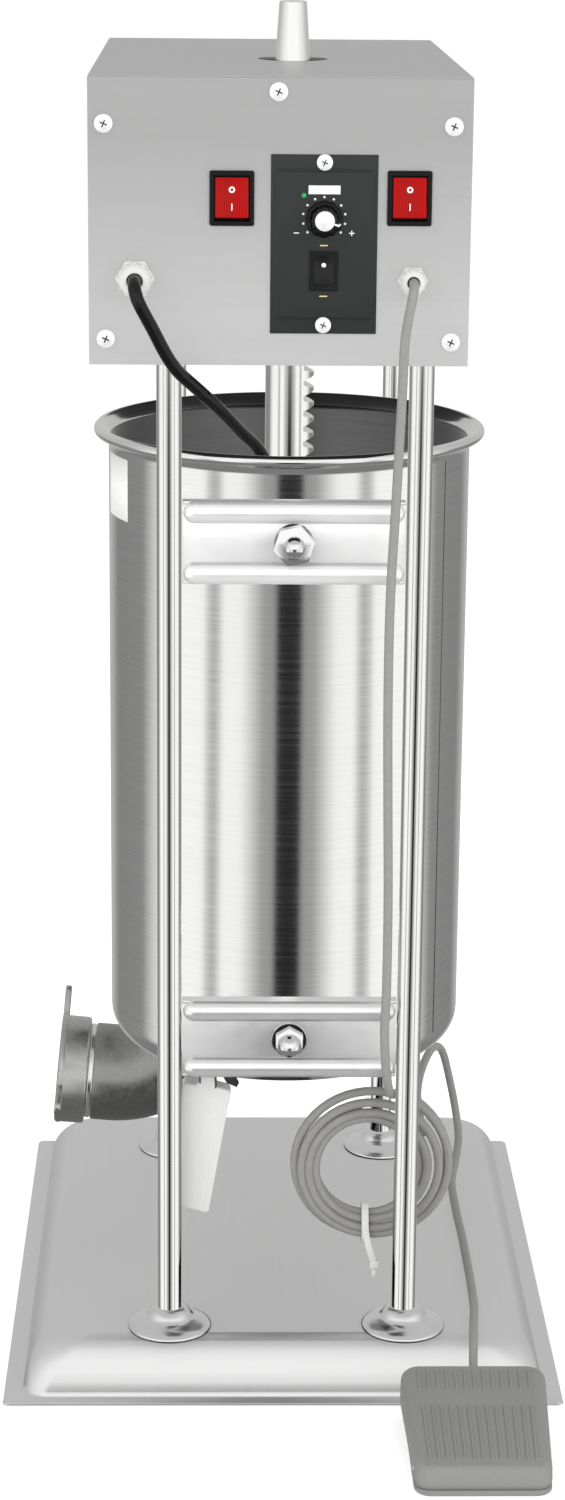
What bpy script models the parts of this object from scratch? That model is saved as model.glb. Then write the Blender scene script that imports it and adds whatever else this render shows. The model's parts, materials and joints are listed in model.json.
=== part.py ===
"""Vertical electric sausage stuffer: a stainless barrel held in a four-post frame, with a rack-driven
piston, a gear motor housing on top, a bottom spout and a corded foot pedal.

Frame: +Z up, the barrel's axis is the Z axis, and z = 0 is the underside of the base.
The control panel faces -Y and the spout points to -X.  Sizes below are in millimetres.
"""
import math

import bmesh
import bpy
from mathutils import Matrix, Vector

MM = 0.001
GAP = 0.3

# Frame
POST_X = 72.3
POST_Y = 144.0
POST_R = 7.25
POST_TOP = 668.0
BASE_X = (-174.0, 170.0)
BASE_Y = (-180.0, 239.0)
BASE_TOP = 36.5
BASE_SHEET = 1.6
CROSSBAR_UPPER_Z = 532.0
CROSSBAR_LOWER_Z = 226.5

# Housing
BOX_X = (-117.3, 97.3)
BOX_Y = (-156.5, 216.5)
BOX_Z = (637.0, 798.0)
SHEET = 1.5
FLOOR_Z = (637.2, 641.2)
TOP_HOLE_R = 21.0

# Barrel
BARREL_R = 111.6
BARREL_WALL = 1.5
BARREL_BOTTOM = 180.0
BARREL_CORNER = 20.0
RIM_Z = 574.5
RIM_R = 117.4
RIM_WIRE = 3.3

# Rack and pinion
MODULE = 3.0
PITCH = math.pi * MODULE
RACK_R = 15.0
RACK_ROOT_X = 8.25
RACK_PITCH_X = 11.75
PINION_TEETH = 18
PINION_R = MODULE * PINION_TEETH / 2
PINION_X = RACK_PITCH_X + PINION_R
PINION_Z = 707.6
PISTON_Z = 188.5
CONE_TOP = 832.0
VALVE = (-68.0, 20.0)

# Spout
SPOUT_R = 31.4
SPOUT_WALL = 5.5
SPOUT_BEND = 54.0
SPOUT_BEND_X = -108.0
SPOUT_BEND_Z = 202.5
SPOUT_TILT = math.radians(5.0)

# Controls on the front face
PANEL_X = 14.8
PANEL_Z = 705.3
KNOB_Z = 719.9
RUN_Z = 690.8
SWITCH_LEFT = (-36.9, 730.8)
SWITCH_RIGHT = (62.5, 731.3)
ROCKER_REST = math.radians(-10.0)
KNOB_REST = math.radians(108.0)
FACE_Y = BOX_Y[0]

# Cords
MAINS_R = 3.75
PEDAL_CORD_R = 2.75
GLAND_LEFT = (-91.0, 686.0)
GLAND_RIGHT = (65.0, 685.5)
COIL_CENTRE = (52.3, -117.0, 133.0)
JOIN_Z = 622.0


def clear_scene():
    for item in list(bpy.data.objects):
        bpy.data.objects.remove(item, do_unlink=True)


def new_collection(name):
    group = bpy.data.collections.new(name)
    bpy.context.scene.collection.children.link(group)
    return group


clear_scene()
PARTS = new_collection("sausage_stuffer")
GUIDES = new_collection("cutters")


def material(name, color, metallic=0.0, roughness=0.5):
    mat = bpy.data.materials.new(name)
    mat.use_nodes = True
    shader = mat.node_tree.nodes["Principled BSDF"]
    shader.inputs["Base Color"].default_value = (*color, 1.0)
    shader.inputs["Metallic"].default_value = metallic
    shader.inputs["Roughness"].default_value = roughness
    mat.diffuse_color = (*color, 1.0)
    return mat


POLISHED = material("polished_steel", (0.72, 0.72, 0.73), 1.0, 0.12)
BRUSHED = material("brushed_steel", (0.62, 0.62, 0.61), 1.0, 0.32)
CAST = material("cast_steel", (0.30, 0.30, 0.30), 1.0, 0.5)
DARK_STEEL = material("dark_steel", (0.2, 0.2, 0.2), 1.0, 0.4)
PANEL = material("panel_plastic", (0.05, 0.06, 0.058), 0.0, 0.4)
BLACK = material("black_plastic", (0.012, 0.012, 0.012), 0.0, 0.35)
RED = material("red_lens", (0.72, 0.02, 0.02), 0.0, 0.25)
WHITE = material("white_plastic", (0.82, 0.82, 0.8), 0.0, 0.4)
GREY = material("grey_plastic", (0.28, 0.28, 0.27), 0.0, 0.5)
CORD_GREY = material("grey_cord", (0.38, 0.37, 0.36), 0.0, 0.5)


def add_object(name, mesh, mat, location=(0, 0, 0), rotation=(0, 0, 0), guide=False):
    obj = bpy.data.objects.new(name, mesh)
    obj.location = Vector(location) * MM
    obj.rotation_euler = rotation
    if guide:
        GUIDES.objects.link(obj)
        obj.hide_render = True
        obj.display_type = "WIRE"
    else:
        PARTS.objects.link(obj)
        mesh.materials.append(mat)
    return obj


def bmesh_object(name, bm, mat, location=(0, 0, 0), rotation=(0, 0, 0), guide=False, smooth=False):
    bmesh.ops.recalc_face_normals(bm, faces=bm.faces)
    mesh = bpy.data.meshes.new(name)
    bm.to_mesh(mesh)
    bm.free()
    if smooth:
        mesh.shade_smooth()
        mesh.set_sharp_from_angle(angle=math.radians(35))
    return add_object(name, mesh, mat, location, rotation, guide)


def block(name, low, high, mat, bevel=0.0, guide=False, rotation=(0, 0, 0), segments=2):
    """A box between two corners, with its origin at its centre."""
    bm = bmesh.new()
    bmesh.ops.create_cube(bm, size=1.0)
    size = (Vector(high) - Vector(low)) * MM
    bmesh.ops.scale(bm, vec=size, verts=bm.verts)
    centre = (Vector(high) + Vector(low)) / 2
    obj = bmesh_object(name, bm, mat, centre, rotation, guide)
    if bevel:
        add_bevel(obj, bevel, segments)
    return obj


def cylinder(name, radius, length, mat, location, rotation=(0, 0, 0), sides=24, guide=False, top=None):
    """A cylinder or cone centred on its location, along its own Z."""
    bm = bmesh.new()
    bmesh.ops.create_cone(bm, cap_ends=True, segments=sides, radius1=radius * MM,
                          radius2=(radius if top is None else top) * MM, depth=length * MM)
    return bmesh_object(name, bm, mat, location, rotation, guide, smooth=sides > 8)


def turned(name, profile, mat, location=(0, 0, 0), rotation=(0, 0, 0), steps=32, closed=False, guide=False):
    """A profile of (radius, height) pairs, top to bottom down its outer side, turned about Z."""
    bm = bmesh.new()
    verts = [bm.verts.new((radius * MM, 0, height * MM)) for radius, height in profile]
    for first, second in zip(verts, verts[1:]):
        bm.edges.new((first, second))
    if closed:
        bm.edges.new((verts[-1], verts[0]))
    mesh = bpy.data.meshes.new(name)
    bm.to_mesh(mesh)
    bm.free()
    obj = add_object(name, mesh, mat, location, rotation, guide)
    screw = obj.modifiers.new("Screw", "SCREW")
    screw.axis = "Z"
    screw.angle = 2 * math.pi
    screw.steps = steps
    screw.render_steps = steps
    screw.use_merge_vertices = True
    screw.merge_threshold = 0.00001
    screw.use_smooth_shade = True
    return obj


def add_bevel(obj, width, segments=2):
    bevel = obj.modifiers.new("Bevel", "BEVEL")
    bevel.width = width * MM
    bevel.segments = segments
    bevel.limit_method = "ANGLE"
    bevel.angle_limit = math.radians(40)
    return bevel


def boolean(obj, other, operation):
    step = obj.modifiers.new(operation.title(), "BOOLEAN")
    step.operation = operation
    step.solver = "EXACT"
    step.object = other
    return step


def cut(obj, *cutters):
    for cutter in cutters:
        boolean(obj, cutter, "DIFFERENCE")


def join(obj, *others):
    for other in others:
        boolean(obj, other, "UNION")


def curve_mesh(name, data):
    """Turns a curve into a welded mesh, so that it can be cut and joined."""
    temp = bpy.data.objects.new(name + "_curve", data)
    GUIDES.objects.link(temp)
    bpy.context.view_layer.update()
    depsgraph = bpy.context.evaluated_depsgraph_get()
    mesh = bpy.data.meshes.new_from_object(temp.evaluated_get(depsgraph))
    bpy.data.objects.remove(temp, do_unlink=True)
    bm = bmesh.new()
    bm.from_mesh(mesh)
    bmesh.ops.remove_doubles(bm, verts=bm.verts, dist=0.000005)
    bmesh.ops.recalc_face_normals(bm, faces=bm.faces)
    bm.to_mesh(mesh)
    bm.free()
    mesh.materials.clear()
    return mesh


def outline(name, points, thickness, mat, location=(0, 0, 0), rotation=(0, 0, 0), guide=False):
    """A flat closed outline in its own XY plane, as a slab centred on that plane."""
    data = bpy.data.curves.new(name, "CURVE")
    data.dimensions = "2D"
    data.fill_mode = "BOTH"
    data.extrude = thickness / 2 * MM
    spline = data.splines.new("POLY")
    spline.points.add(len(points) - 1)
    for point, (x, y) in zip(spline.points, points):
        point.co = (x * MM, y * MM, 0, 1)
    spline.use_cyclic_u = True
    return add_object(name, curve_mesh(name, data), mat, location, rotation, guide)


def smooth_path(points, spacing):
    """Points about one spacing apart on a smooth curve through the given points."""
    route = [Vector(p) for p in points]
    route = [2 * route[0] - route[1]] + route + [2 * route[-1] - route[-2]]
    dense = []
    for a, b, c, d in zip(route, route[1:], route[2:], route[3:]):
        for step in range(24):
            t = step / 24
            dense.append(0.5 * (2 * b + (c - a) * t + (2 * a - 5 * b + 4 * c - d) * t ** 2
                                + (3 * b - a - 3 * c + d) * t ** 3))
    dense.append(route[-2])
    length = sum((q - p).length for p, q in zip(dense, dense[1:]))
    count = max(2, round(length / spacing))
    result = [dense[0]]
    walked = 0.0
    target = length / count
    for p, q in zip(dense, dense[1:]):
        step = (q - p).length
        while walked + step >= target and len(result) < count:
            result.append(p.lerp(q, (target - walked) / step))
            target += length / count
        walked += step
    result.append(dense[-1])
    return result, length


def wire(name, points, radius, mat, spacing):
    """A round cord along a smooth path."""
    path, _length = smooth_path(points, spacing)
    data = bpy.data.curves.new(name, "CURVE")
    data.dimensions = "3D"
    data.bevel_depth = radius * MM
    data.bevel_resolution = 2
    data.use_fill_caps = True
    data.twist_mode = "MINIMUM"
    data.render_resolution_u = 0
    spline = data.splines.new("POLY")
    spline.points.add(len(path) - 1)
    for point, co in zip(spline.points, path):
        point.co = (*(co * MM), 1)
    data.materials.append(mat)
    obj = bpy.data.objects.new(name, data)
    PARTS.objects.link(obj)
    return obj


def arc(cx, cy, radius, start, end, count):
    """Points on an arc, with angles in degrees."""
    return [(cx + radius * math.cos(math.radians(start + (end - start) * i / count)),
             cy + radius * math.sin(math.radians(start + (end - start) * i / count)))
            for i in range(count + 1)]


TO_FRONT = (math.radians(90), 0, 0)
ALONG_X = (math.radians(90), 0, math.radians(90))


# Base ------------------------------------------------------------------------------------------
def rounded_ring(bm, inset, height, radius, count=4):
    """One level of the pan; its sides slope in faster at the front than at the back."""
    low = (BASE_X[0] + 0.78 * inset, BASE_Y[0] + 0.6 * inset)
    high = (BASE_X[1] - 0.78 * inset, BASE_Y[1] - inset)
    corners = [(high[0] - radius, high[1] - radius, 0), (low[0] + radius, high[1] - radius, 90),
               (low[0] + radius, low[1] + radius, 180), (high[0] - radius, low[1] + radius, 270)]
    ring = []
    for cx, cy, start in corners:
        for x, y in arc(cx, cy, radius, start, start + 90, count):
            ring.append(bm.verts.new((x * MM, y * MM, height * MM)))
    return ring


def build_base():
    bm = bmesh.new()
    steps = [(0, 2.0, 4), (14, 2.0, 14), (15.5, 9, 17), (19, 18, 19), (25, 26.5, 21),
             (33, 33.5, 23), (44, BASE_TOP, 25)]
    rings = [rounded_ring(bm, inset, height, radius) for inset, height, radius in steps]
    for lower, upper in zip(rings, rings[1:]):
        for i in range(len(lower)):
            j = (i + 1) % len(lower)
            bm.faces.new((lower[i], lower[j], upper[j], upper[i]))
    bm.faces.new(rings[-1])
    pan = bmesh_object("base_pan", bm, POLISHED)
    shell = pan.modifiers.new("Solidify", "SOLIDIFY")
    shell.thickness = BASE_SHEET * MM
    shell.offset = -1.0
    for x in (-POST_X, POST_X):
        for y in (-POST_Y, POST_Y):
            cut(pan, cylinder("post_hole", POST_R + GAP, 20, None, (x, y, BASE_TOP), guide=True, sides=16))
    channel = [(-30, 0), (30, 0), (30, 34.4), (27.5, 34.4), (27.5, 2.5), (-27.5, 2.5), (-27.5, 34.4), (-30, 34.4)]
    channel = [(x, z - 17.2) for x, z in channel]
    outline("base_stiffener", channel, 318, DARK_STEEL, (0, 29.5, 17.2), TO_FRONT)


def build_posts():
    names = {(-1, -1): "front_left", (1, -1): "front_right", (-1, 1): "rear_left", (1, 1): "rear_right"}
    for (sx, sy), name in names.items():
        place = (sx * POST_X, sy * POST_Y, 0)
        post = [(0, POST_TOP), (POST_R - 1, POST_TOP), (POST_R, POST_TOP - 1), (POST_R, 31.5), (11, 31.5), (11, 22),
                (POST_R, 22), (POST_R, 15), (0, 15)]
        turned("post_" + name, post, POLISHED, place, steps=16)
        hole = POST_R + GAP
        flange = [(hole, 50.5), (9.6, 50.5), (12, 48.4), (15.5, 45.6), (20, 43.6), (24.5, 40.2), (25.8, 37.0),
                  (hole, 37.0)]
        turned("post_flange_" + name, flange, POLISHED, place, steps=16, closed=True)


def crossbar_outline(side):
    """Pressed channel with a rolled bead along each long edge; side -1 faces -Y, side 1 faces +Y."""
    face = 0.5
    points = arc(-face, 18.0, 6.6, 90, 270, 6)
    points += [(-1.5, 11.3), (-1.5, -11.3)]
    points += arc(-face, -18.0, 6.6, 90, 270, 6)
    points += [(7, -24.6), (7, -22.4), (2, -22.4), (2, 22.4), (7, 22.4), (7, 24.6)]
    if side > 0:
        points = [(-y, z) for y, z in reversed(points)]
    return points


def build_crossbars():
    length = 2 * (POST_X - POST_R - 0.35)
    for place, side in (("front", -1), ("rear", 1)):
        for level, height in (("upper", CROSSBAR_UPPER_Z), ("lower", CROSSBAR_LOWER_Z)):
            bar = outline("crossbar_%s_%s" % (place, level), crossbar_outline(side), length, POLISHED,
                          (0, side * POST_Y, height), ALONG_X)
            cut(bar, cylinder("bolt_hole", 5.4, 30, None, (0, side * POST_Y, height), TO_FRONT, sides=16, guide=True))
            build_bolt("barrel_%s_bolt_%s" % ("lock" if level == "upper" else "pivot", place), side, height, level)


def build_bolt(name, side, height, level):
    turn = (math.radians(90), 0, 0) if side < 0 else (math.radians(-90), 0, 0)
    seat = 1.8
    profile = [(0, seat + 19), (3.2, seat + 18.4), (5.4, seat + 16.2), (6.2, seat + 13.2), (6.2, seat + 6),
               (5, seat + 5), (5, -25), (0, -25)]
    if level == "lower":
        profile = [(0, seat + 18), (3.6, seat + 17), (6.0, seat + 14), (6.6, seat + 10), (6.6, seat + 1.6),
                   (10.8, seat + 1.6), (10.8, seat), (5, seat), (5, -25), (0, -25)]
    bolt = turned(name, profile, POLISHED, (0, side * POST_Y, height), turn, steps=16)
    across = 12.4 if level == "upper" else 9.4
    depth = 8.4 if level == "upper" else 8.0
    offset = seat + depth / 2 + (0 if level == "upper" else 1.0)
    join(bolt, cylinder("hex", across, depth, None, (0, side * (POST_Y + offset), height),
                        (turn[0], math.radians(30), 0), sides=6, guide=True))


# Housing ---------------------------------------------------------------------------------------
def build_housing():
    shell_low = (BOX_X[0], FACE_Y + SHEET + GAP, BOX_Z[0])
    shell_high = (BOX_X[1], BOX_Y[1], BOX_Z[1])
    bm = bmesh.new()
    bmesh.ops.create_cube(bm, size=1.0)
    open_faces = [face for face in bm.faces if face.normal.y < -0.5 or face.normal.z < -0.5]
    bmesh.ops.delete(bm, geom=open_faces, context="FACES")
    bmesh.ops.scale(bm, vec=(Vector(shell_high) - Vector(shell_low)) * MM, verts=bm.verts)
    centre = (Vector(shell_high) + Vector(shell_low)) / 2
    mesh = bpy.data.meshes.new("housing_shell")
    bm.to_mesh(mesh)
    bm.free()
    shell = add_object("housing_shell", mesh, BRUSHED, centre)
    add_bevel(shell, 1.2, 2)
    sheet = shell.modifiers.new("Solidify", "SOLIDIFY")
    sheet.thickness = SHEET * MM
    sheet.offset = -1.0
    cut(shell, cylinder("rack_hole", TOP_HOLE_R, 20, None, (0, 0, BOX_Z[1]), sides=32, guide=True))

    plate = block("front_plate", (BOX_X[0], FACE_Y, BOX_Z[0]), (BOX_X[1], FACE_Y + SHEET, BOX_Z[1] - 1.2), BRUSHED)
    middle = FACE_Y + SHEET / 2
    cut(plate, block("panel_cutout", (PANEL_X - 25.6, middle - 5, PANEL_Z - 48.2),
                     (PANEL_X + 25.6, middle + 5, PANEL_Z + 48.6), None, guide=True))
    for x, z in (SWITCH_LEFT, SWITCH_RIGHT):
        cut(plate, block("switch_cutout", (x - 11.2, middle - 5, z - 13.8), (x + 11.2, middle + 5, z + 13.8),
                         None, guide=True))
    for (x, z), radius in ((GLAND_LEFT, 8.4), (GLAND_RIGHT, 6.4)):
        cut(plate, cylinder("gland_hole", radius, 10, None, (x, middle, z), TO_FRONT, guide=True))
    for x, z in FACE_SCREWS.values():
        cut(plate, cylinder("screw_hole", 2.4, 10, None, (x, middle, z), TO_FRONT, sides=12, guide=True))

    floor = block("housing_floor", (BOX_X[0] + 1.9, FACE_Y + 1.9, FLOOR_Z[0]),
                  (BOX_X[1] - 1.9, BOX_Y[1] - 1.9, FLOOR_Z[1]), DARK_STEEL)
    for x in (-POST_X, POST_X):
        for y in (-POST_Y, POST_Y):
            cut(floor, cylinder("post_hole", POST_R + GAP, 20, None, (x, y, 639), sides=16, guide=True))
    cut(floor, cylinder("rack_hole", RACK_R + 1.5, 20, None, (0, 0, 639), guide=True))
    guide_bush = [(RACK_R + 0.5, 671), (21, 671), (21, 648), (27, 648), (27, 641.5), (RACK_R + 0.5, 641.5)]
    turned("rack_guide", guide_bush, CAST, steps=24, closed=True)


FACE_SCREWS = {
    "face_screw_top": (-11.1, 789.4),
    "face_screw_upper_left": (-108.4, 771.5),
    "face_screw_upper_right": (86.6, 771.0),
    "face_screw_lower_left": (-107.7, 651.8),
    "face_screw_lower_right": (87.3, 650.8),
}


def build_screws():
    head = [(0, 2.9), (3.2, 2.4), (5.2, 0.6), (5.2, 0.1), (2.1, 0.1), (2.1, -6), (0, -6)]
    for name, (x, z) in FACE_SCREWS.items():
        turned(name, head, POLISHED, (x, FACE_Y, z), TO_FRONT, steps=10)
    panel_face = FACE_Y - 2.3
    for name, z in (("panel_screw_top", PANEL_Z + 45.8), ("panel_screw_bottom", PANEL_Z - 44.8)):
        small = [(r * 0.86, h * 0.86 if h > 0.2 else h) for r, h in head]
        turned(name, small, POLISHED, (PANEL_X, panel_face, z), TO_FRONT, steps=10)


# Speed controller and switches ------------------------------------------------------------------
def build_controller():
    front = FACE_Y - 2.3
    unit = block("speed_controller", (PANEL_X - 30, front, PANEL_Z - 50), (PANEL_X + 30, FACE_Y - 0.2, PANEL_Z + 50),
                 PANEL)
    join(unit, block("unit_body", (PANEL_X - 25, front + 1, PANEL_Z - 45), (PANEL_X + 25, FACE_Y + 78, PANEL_Z + 45),
                     None, guide=True))
    cut(unit, block("run_pocket", (PANEL_X - 8.4, front - 5, RUN_Z - 11.4), (PANEL_X + 8.4, front + 12, RUN_Z + 11.4),
                    None, guide=True),
        cylinder("knob_shaft_hole", 3.4, 20, None, (PANEL_X, front, KNOB_Z), TO_FRONT, sides=16, guide=True))
    for z in (PANEL_Z + 45.8, PANEL_Z - 44.8):
        cut(unit, cylinder("panel_screw_hole", 2.2, 20, None, (PANEL_X, front, z), TO_FRONT, sides=12, guide=True))
    knob = [(0, 14.2), (5.0, 14.0), (5.4, 13.2), (6.6, 12.6), (7.4, 5.0), (10.2, 3.6), (10.2, 0.5), (3.0, 0.5),
            (3.0, -8.5), (0, -8.5)]
    knob = turned("speed_knob", knob, BLACK, (PANEL_X, front, KNOB_Z), (math.radians(90), 0, 0), steps=28)
    angle = KNOB_REST
    tip = (PANEL_X + 7.3 * math.sin(angle), front - 13.0, KNOB_Z + 7.3 * math.cos(angle))
    pointer = block("pointer", (tip[0] - 0.8, tip[1] - 1.3, tip[2] - 2.6), (tip[0] + 0.8, tip[1] + 1.3, tip[2] + 2.6),
                    None, guide=True, rotation=(0, angle, 0))
    join(knob, pointer)
    rocker("run_rocker", (PANEL_X, RUN_Z), front, 7.9, 9.9, 4.2, BLACK)


def rocker(name, centre, face, half_width, half_height, proud, mat):
    """A rocker cap on its own hinge axis, tipped so that its upper half is pressed in at rest."""
    x, z = centre
    pivot = 1.6
    profile = [(pivot + proud, half_height), (pivot + proud - 1.7, 0), (pivot + proud, -half_height),
               (-2.4, -half_height), (-5.2, -4), (-5.2, 4), (-2.4, half_height)]
    points = [(-out, up) for out, up in profile]
    cosine, sine = math.cos(ROCKER_REST), math.sin(ROCKER_REST)
    points = [(y * cosine - up * sine, y * sine + up * cosine) for y, up in points]
    return outline(name, points, 2 * half_width, mat, (x, face + pivot, z), ALONG_X)


def build_switch(side, centre):
    x, z = centre
    frame = block(side + "_switch_frame", (x - 12.5, FACE_Y - 2.4, z - 15.3), (x + 12.5, FACE_Y - 0.2, z + 15.3),
                  BLACK, bevel=0.8, segments=1)
    join(frame, block("switch_body", (x - 10.9, FACE_Y - 1.5, z - 13.5), (x + 10.9, FACE_Y + 17, z + 13.5),
                      None, guide=True))
    cut(frame, block("rocker_well", (x - 10.0, FACE_Y - 10, z - 12.75), (x + 10.0, FACE_Y + 12, z + 12.75),
                     None, guide=True))
    rocker(side + "_red_rocker", centre, FACE_Y - 2.4, 9.6, 11.0, 3.6, RED)


def build_gland(name, centre, size):
    """Cable gland: a hex body with a domed clamping nut and a threaded stem through the plate."""
    x, z = centre
    stem = 8.0 * size
    profile = [(0, 16.5 * size), (5.2 * size, 16.5 * size), (8.2 * size, 13.2 * size), (9.4 * size, 8.6 * size),
               (9.4 * size, 0.3), (stem, 0.3), (stem, -9), (0, -9)]
    gland = turned(name, profile, WHITE, (x, FACE_Y, z), TO_FRONT, steps=20)
    join(gland, cylinder("hex", 11.2 * size, 6.0 * size, None, (x, FACE_Y - 0.4 - 3 * size, z), TO_FRONT, sides=6,
                         guide=True))


# Barrel and spout ------------------------------------------------------------------------------
def build_barrel():
    inner = BARREL_R - BARREL_WALL
    corner = BARREL_CORNER
    inside = arc(inner - corner + BARREL_WALL, BARREL_BOTTOM + corner, corner - BARREL_WALL - 0.4, -90, 0, 5)
    inside = [(inner if i == 5 else x, z) for i, (x, z) in enumerate(inside)]
    outside = arc(BARREL_R - corner, BARREL_BOTTOM + corner, corner, 0, -90, 5)
    bead = arc(RIM_R, RIM_Z, RIM_WIRE, 150, -120, 5)
    profile = [(0, BARREL_BOTTOM + 1.9)] + inside + [(inner, RIM_Z - 7), (inner + 2.2, RIM_Z - 1.5)]
    profile += bead + [(BARREL_R + 1.4, RIM_Z - 5.5), (BARREL_R, RIM_Z - 9)] + outside + [(0, BARREL_BOTTOM)]
    barrel = turned("barrel", profile, BRUSHED, steps=36)
    cut(barrel, cylinder("outlet", 23.5, 20, None, (-57, 0, BARREL_BOTTOM), guide=True))


def build_spout():
    points = []
    for x, z in arc(SPOUT_BEND_X, SPOUT_BEND_Z, SPOUT_BEND, 0, -90 - math.degrees(SPOUT_TILT), 12):
        points.append((x, z, 1.0))
    end_x, end_z, _radius = points[-1]
    slope = math.tan(SPOUT_TILT)
    for x, radius in ((-124.0, 1.0), (-124.2, 0.968), (-143.4, 0.968)):
        points.append((x, end_z + (end_x - x) * slope, radius))
    data = bpy.data.curves.new("spout_elbow", "CURVE")
    data.dimensions = "3D"
    data.bevel_depth = SPOUT_R * MM
    data.bevel_resolution = 4
    data.render_resolution_u = 0
    spline = data.splines.new("POLY")
    spline.points.add(len(points) - 1)
    for point, (x, z, radius) in zip(spline.points, points):
        point.co = (x * MM, 0, z * MM, 1)
        point.radius = radius
    mesh = curve_mesh("spout_elbow", data)
    elbow = add_object("spout_elbow", mesh, CAST)
    shell = elbow.modifiers.new("Solidify", "SOLIDIFY")
    shell.thickness = SPOUT_WALL * MM
    shell.offset = -1.0
    cut(elbow, block("barrel_floor_plane", (-140, -60, BARREL_BOTTOM - GAP), (20, 60, 260), None, guide=True))

    middle_x = -137.0
    middle_z = end_z + (end_x - middle_x) * slope
    turn = (0, math.radians(-90) + SPOUT_TILT, 0)
    ring = [(25.5, 9.8), (35.3, 9.8), (35.3, -9.4), (31.3, -9.4), (31.3, 7.0), (25.5, 7.0)]
    nut = turned("spout_nut", ring, CAST, (middle_x, 0, middle_z), turn, steps=28, closed=True)
    along = Vector((-math.cos(SPOUT_TILT), 0, math.sin(SPOUT_TILT)))
    for degrees in (51, 171, 291):
        lug = block("lug", (-10.5, -6.5, -2.0), (10.5, 6.5, 2.0), None, guide=True)
        out = Matrix.Rotation(math.radians(degrees), 4, along) @ Vector((0, 1, 0))
        lug.rotation_euler = Matrix((out, along.cross(out), along)).transposed().to_euler()
        lug.location = (Vector((middle_x, 0, middle_z)) + along * 7.6 + out * 43.5) * MM
        join(nut, lug)


# Piston, rack and drive ------------------------------------------------------------------------
def build_piston():
    """Dished piston whose underside follows the barrel's rounded corner."""
    low = PISTON_Z
    plate = low + 12
    piston = [(0, low + 8), (RACK_R + GAP, low + 8), (RACK_R + GAP, low + 38), (22, low + 38), (24, low + 36),
              (24, plate), (82, plate), (96, low + 20), (99, low + 37.5), (108.4, low + 37.5), (108.4, low + 34.5),
              (104, low + 34.5), (104, low + 28), (108.4, low + 28), (108.4, low + 24.5), (103.4, low + 14),
              (92, low + 4), (78, low), (0, low)]
    body = turned("piston", piston, BRUSHED, steps=36)
    cut(body, cylinder("valve_hole", 5.4, 80, None, (*VALVE, low), sides=16, guide=True))
    seal = [(104.3, low + 34.2), (108.9, low + 34.2), (109.4, low + 31.2), (108.9, low + 28.3), (104.3, low + 28.3)]
    turned("piston_seal", seal, WHITE, steps=36, closed=True)
    valve = [(0, plate + 9), (6, plate + 8.6), (8, plate + 7), (8, plate + 1.4), (5.0, plate + 0.4), (5.0, low + 1),
             (0, low + 1)]
    turned("air_valve", valve, POLISHED, (*VALVE, 0), steps=20)


def build_rack():
    low = PISTON_Z + 8.3
    cone_base = BOX_Z[1] - 10
    rod = [(0, CONE_TOP), (8.1, CONE_TOP), (8.8, CONE_TOP - 0.8), (11.1, cone_base), (14.2, cone_base - 0.5),
           (RACK_R, cone_base - 1.5), (RACK_R, low), (0, low)]
    rack = turned("rack", rod, POLISHED, steps=20)
    half = 2.53
    slope = math.tan(math.radians(20))
    gap = [(RACK_ROOT_X, -half + 3.5 * slope), (RACK_ROOT_X, half - 3.5 * slope), (17, half + 5.25 * slope),
           (17, -half - 5.25 * slope)]
    cutter = outline("tooth_gap", gap, 60, None, (0, 0, PINION_Z - 43 * PITCH), TO_FRONT, guide=True)
    repeat = cutter.modifiers.new("Array", "ARRAY")
    repeat.count = 46
    repeat.use_relative_offset = False
    repeat.use_constant_offset = True
    repeat.constant_offset_displace = (0, PITCH * MM, 0)
    cut(rack, cutter)


def involute(angle):
    return math.tan(angle) - angle


def build_pinion():
    """Spur pinion with involute flanks, a tooth pointing at the rack, on its shaft."""
    pressure = math.radians(20)
    base = PINION_R * math.cos(pressure)
    tip = PINION_R + 2.9
    root = PINION_R - 3.75
    flank = [base + (tip - base) * t for t in (0.0, 0.25, 0.6, 1.0)]
    half = [math.pi / (2 * PINION_TEETH) + involute(pressure) - involute(math.acos(min(1.0, base / r))) for r in flank]
    radii = [root] + flank
    angles = [half[0]] + half
    points = []
    for tooth in range(PINION_TEETH):
        centre = math.pi + 2 * math.pi * tooth / PINION_TEETH
        for r, a in zip(radii, angles):
            points.append((r * math.cos(centre - a), r * math.sin(centre - a)))
        for r, a in reversed(list(zip(radii, angles))):
            points.append((r * math.cos(centre + a), r * math.sin(centre + a)))
    gear = outline("pinion", points, 24, DARK_STEEL, (PINION_X, 0, PINION_Z), TO_FRONT)
    join(gear, cylinder("shaft", 7.5, 104, None, (PINION_X, 4, PINION_Z), TO_FRONT, sides=24, guide=True))
    bearing = block("bearing_block", (PINION_X - 24, -44, FLOOR_Z[1] + 0.3), (PINION_X + 24, -32, PINION_Z + 24),
                    CAST, bevel=3, segments=2)
    cut(bearing, cylinder("bearing_bore", 7.9, 30, None, (PINION_X, -38, PINION_Z), TO_FRONT, guide=True))
    motor_x = PINION_X - 18
    motor = block("gear_motor", (motor_x - 45, 60, PINION_Z - 45), (motor_x + 45, 124, PINION_Z + 45), DARK_STEEL,
                  bevel=3, segments=1)
    join(motor, cylinder("motor_can", 42, 86, None, (motor_x, 123 + 43, PINION_Z), TO_FRONT, sides=28, guide=True),
         block("motor_foot", (motor_x - 40, 64, FLOOR_Z[1] + 0.3), (motor_x + 40, 120, PINION_Z - 40), None,
               guide=True))
    cut(motor, cylinder("output_bore", 7.9, 40, None, (PINION_X, 60, PINION_Z), TO_FRONT, guide=True))


# Lever under the lower crossbar ------------------------------------------------------------------
LEVER_PIVOT = (-49.5, -127.0, 207.0)


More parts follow.
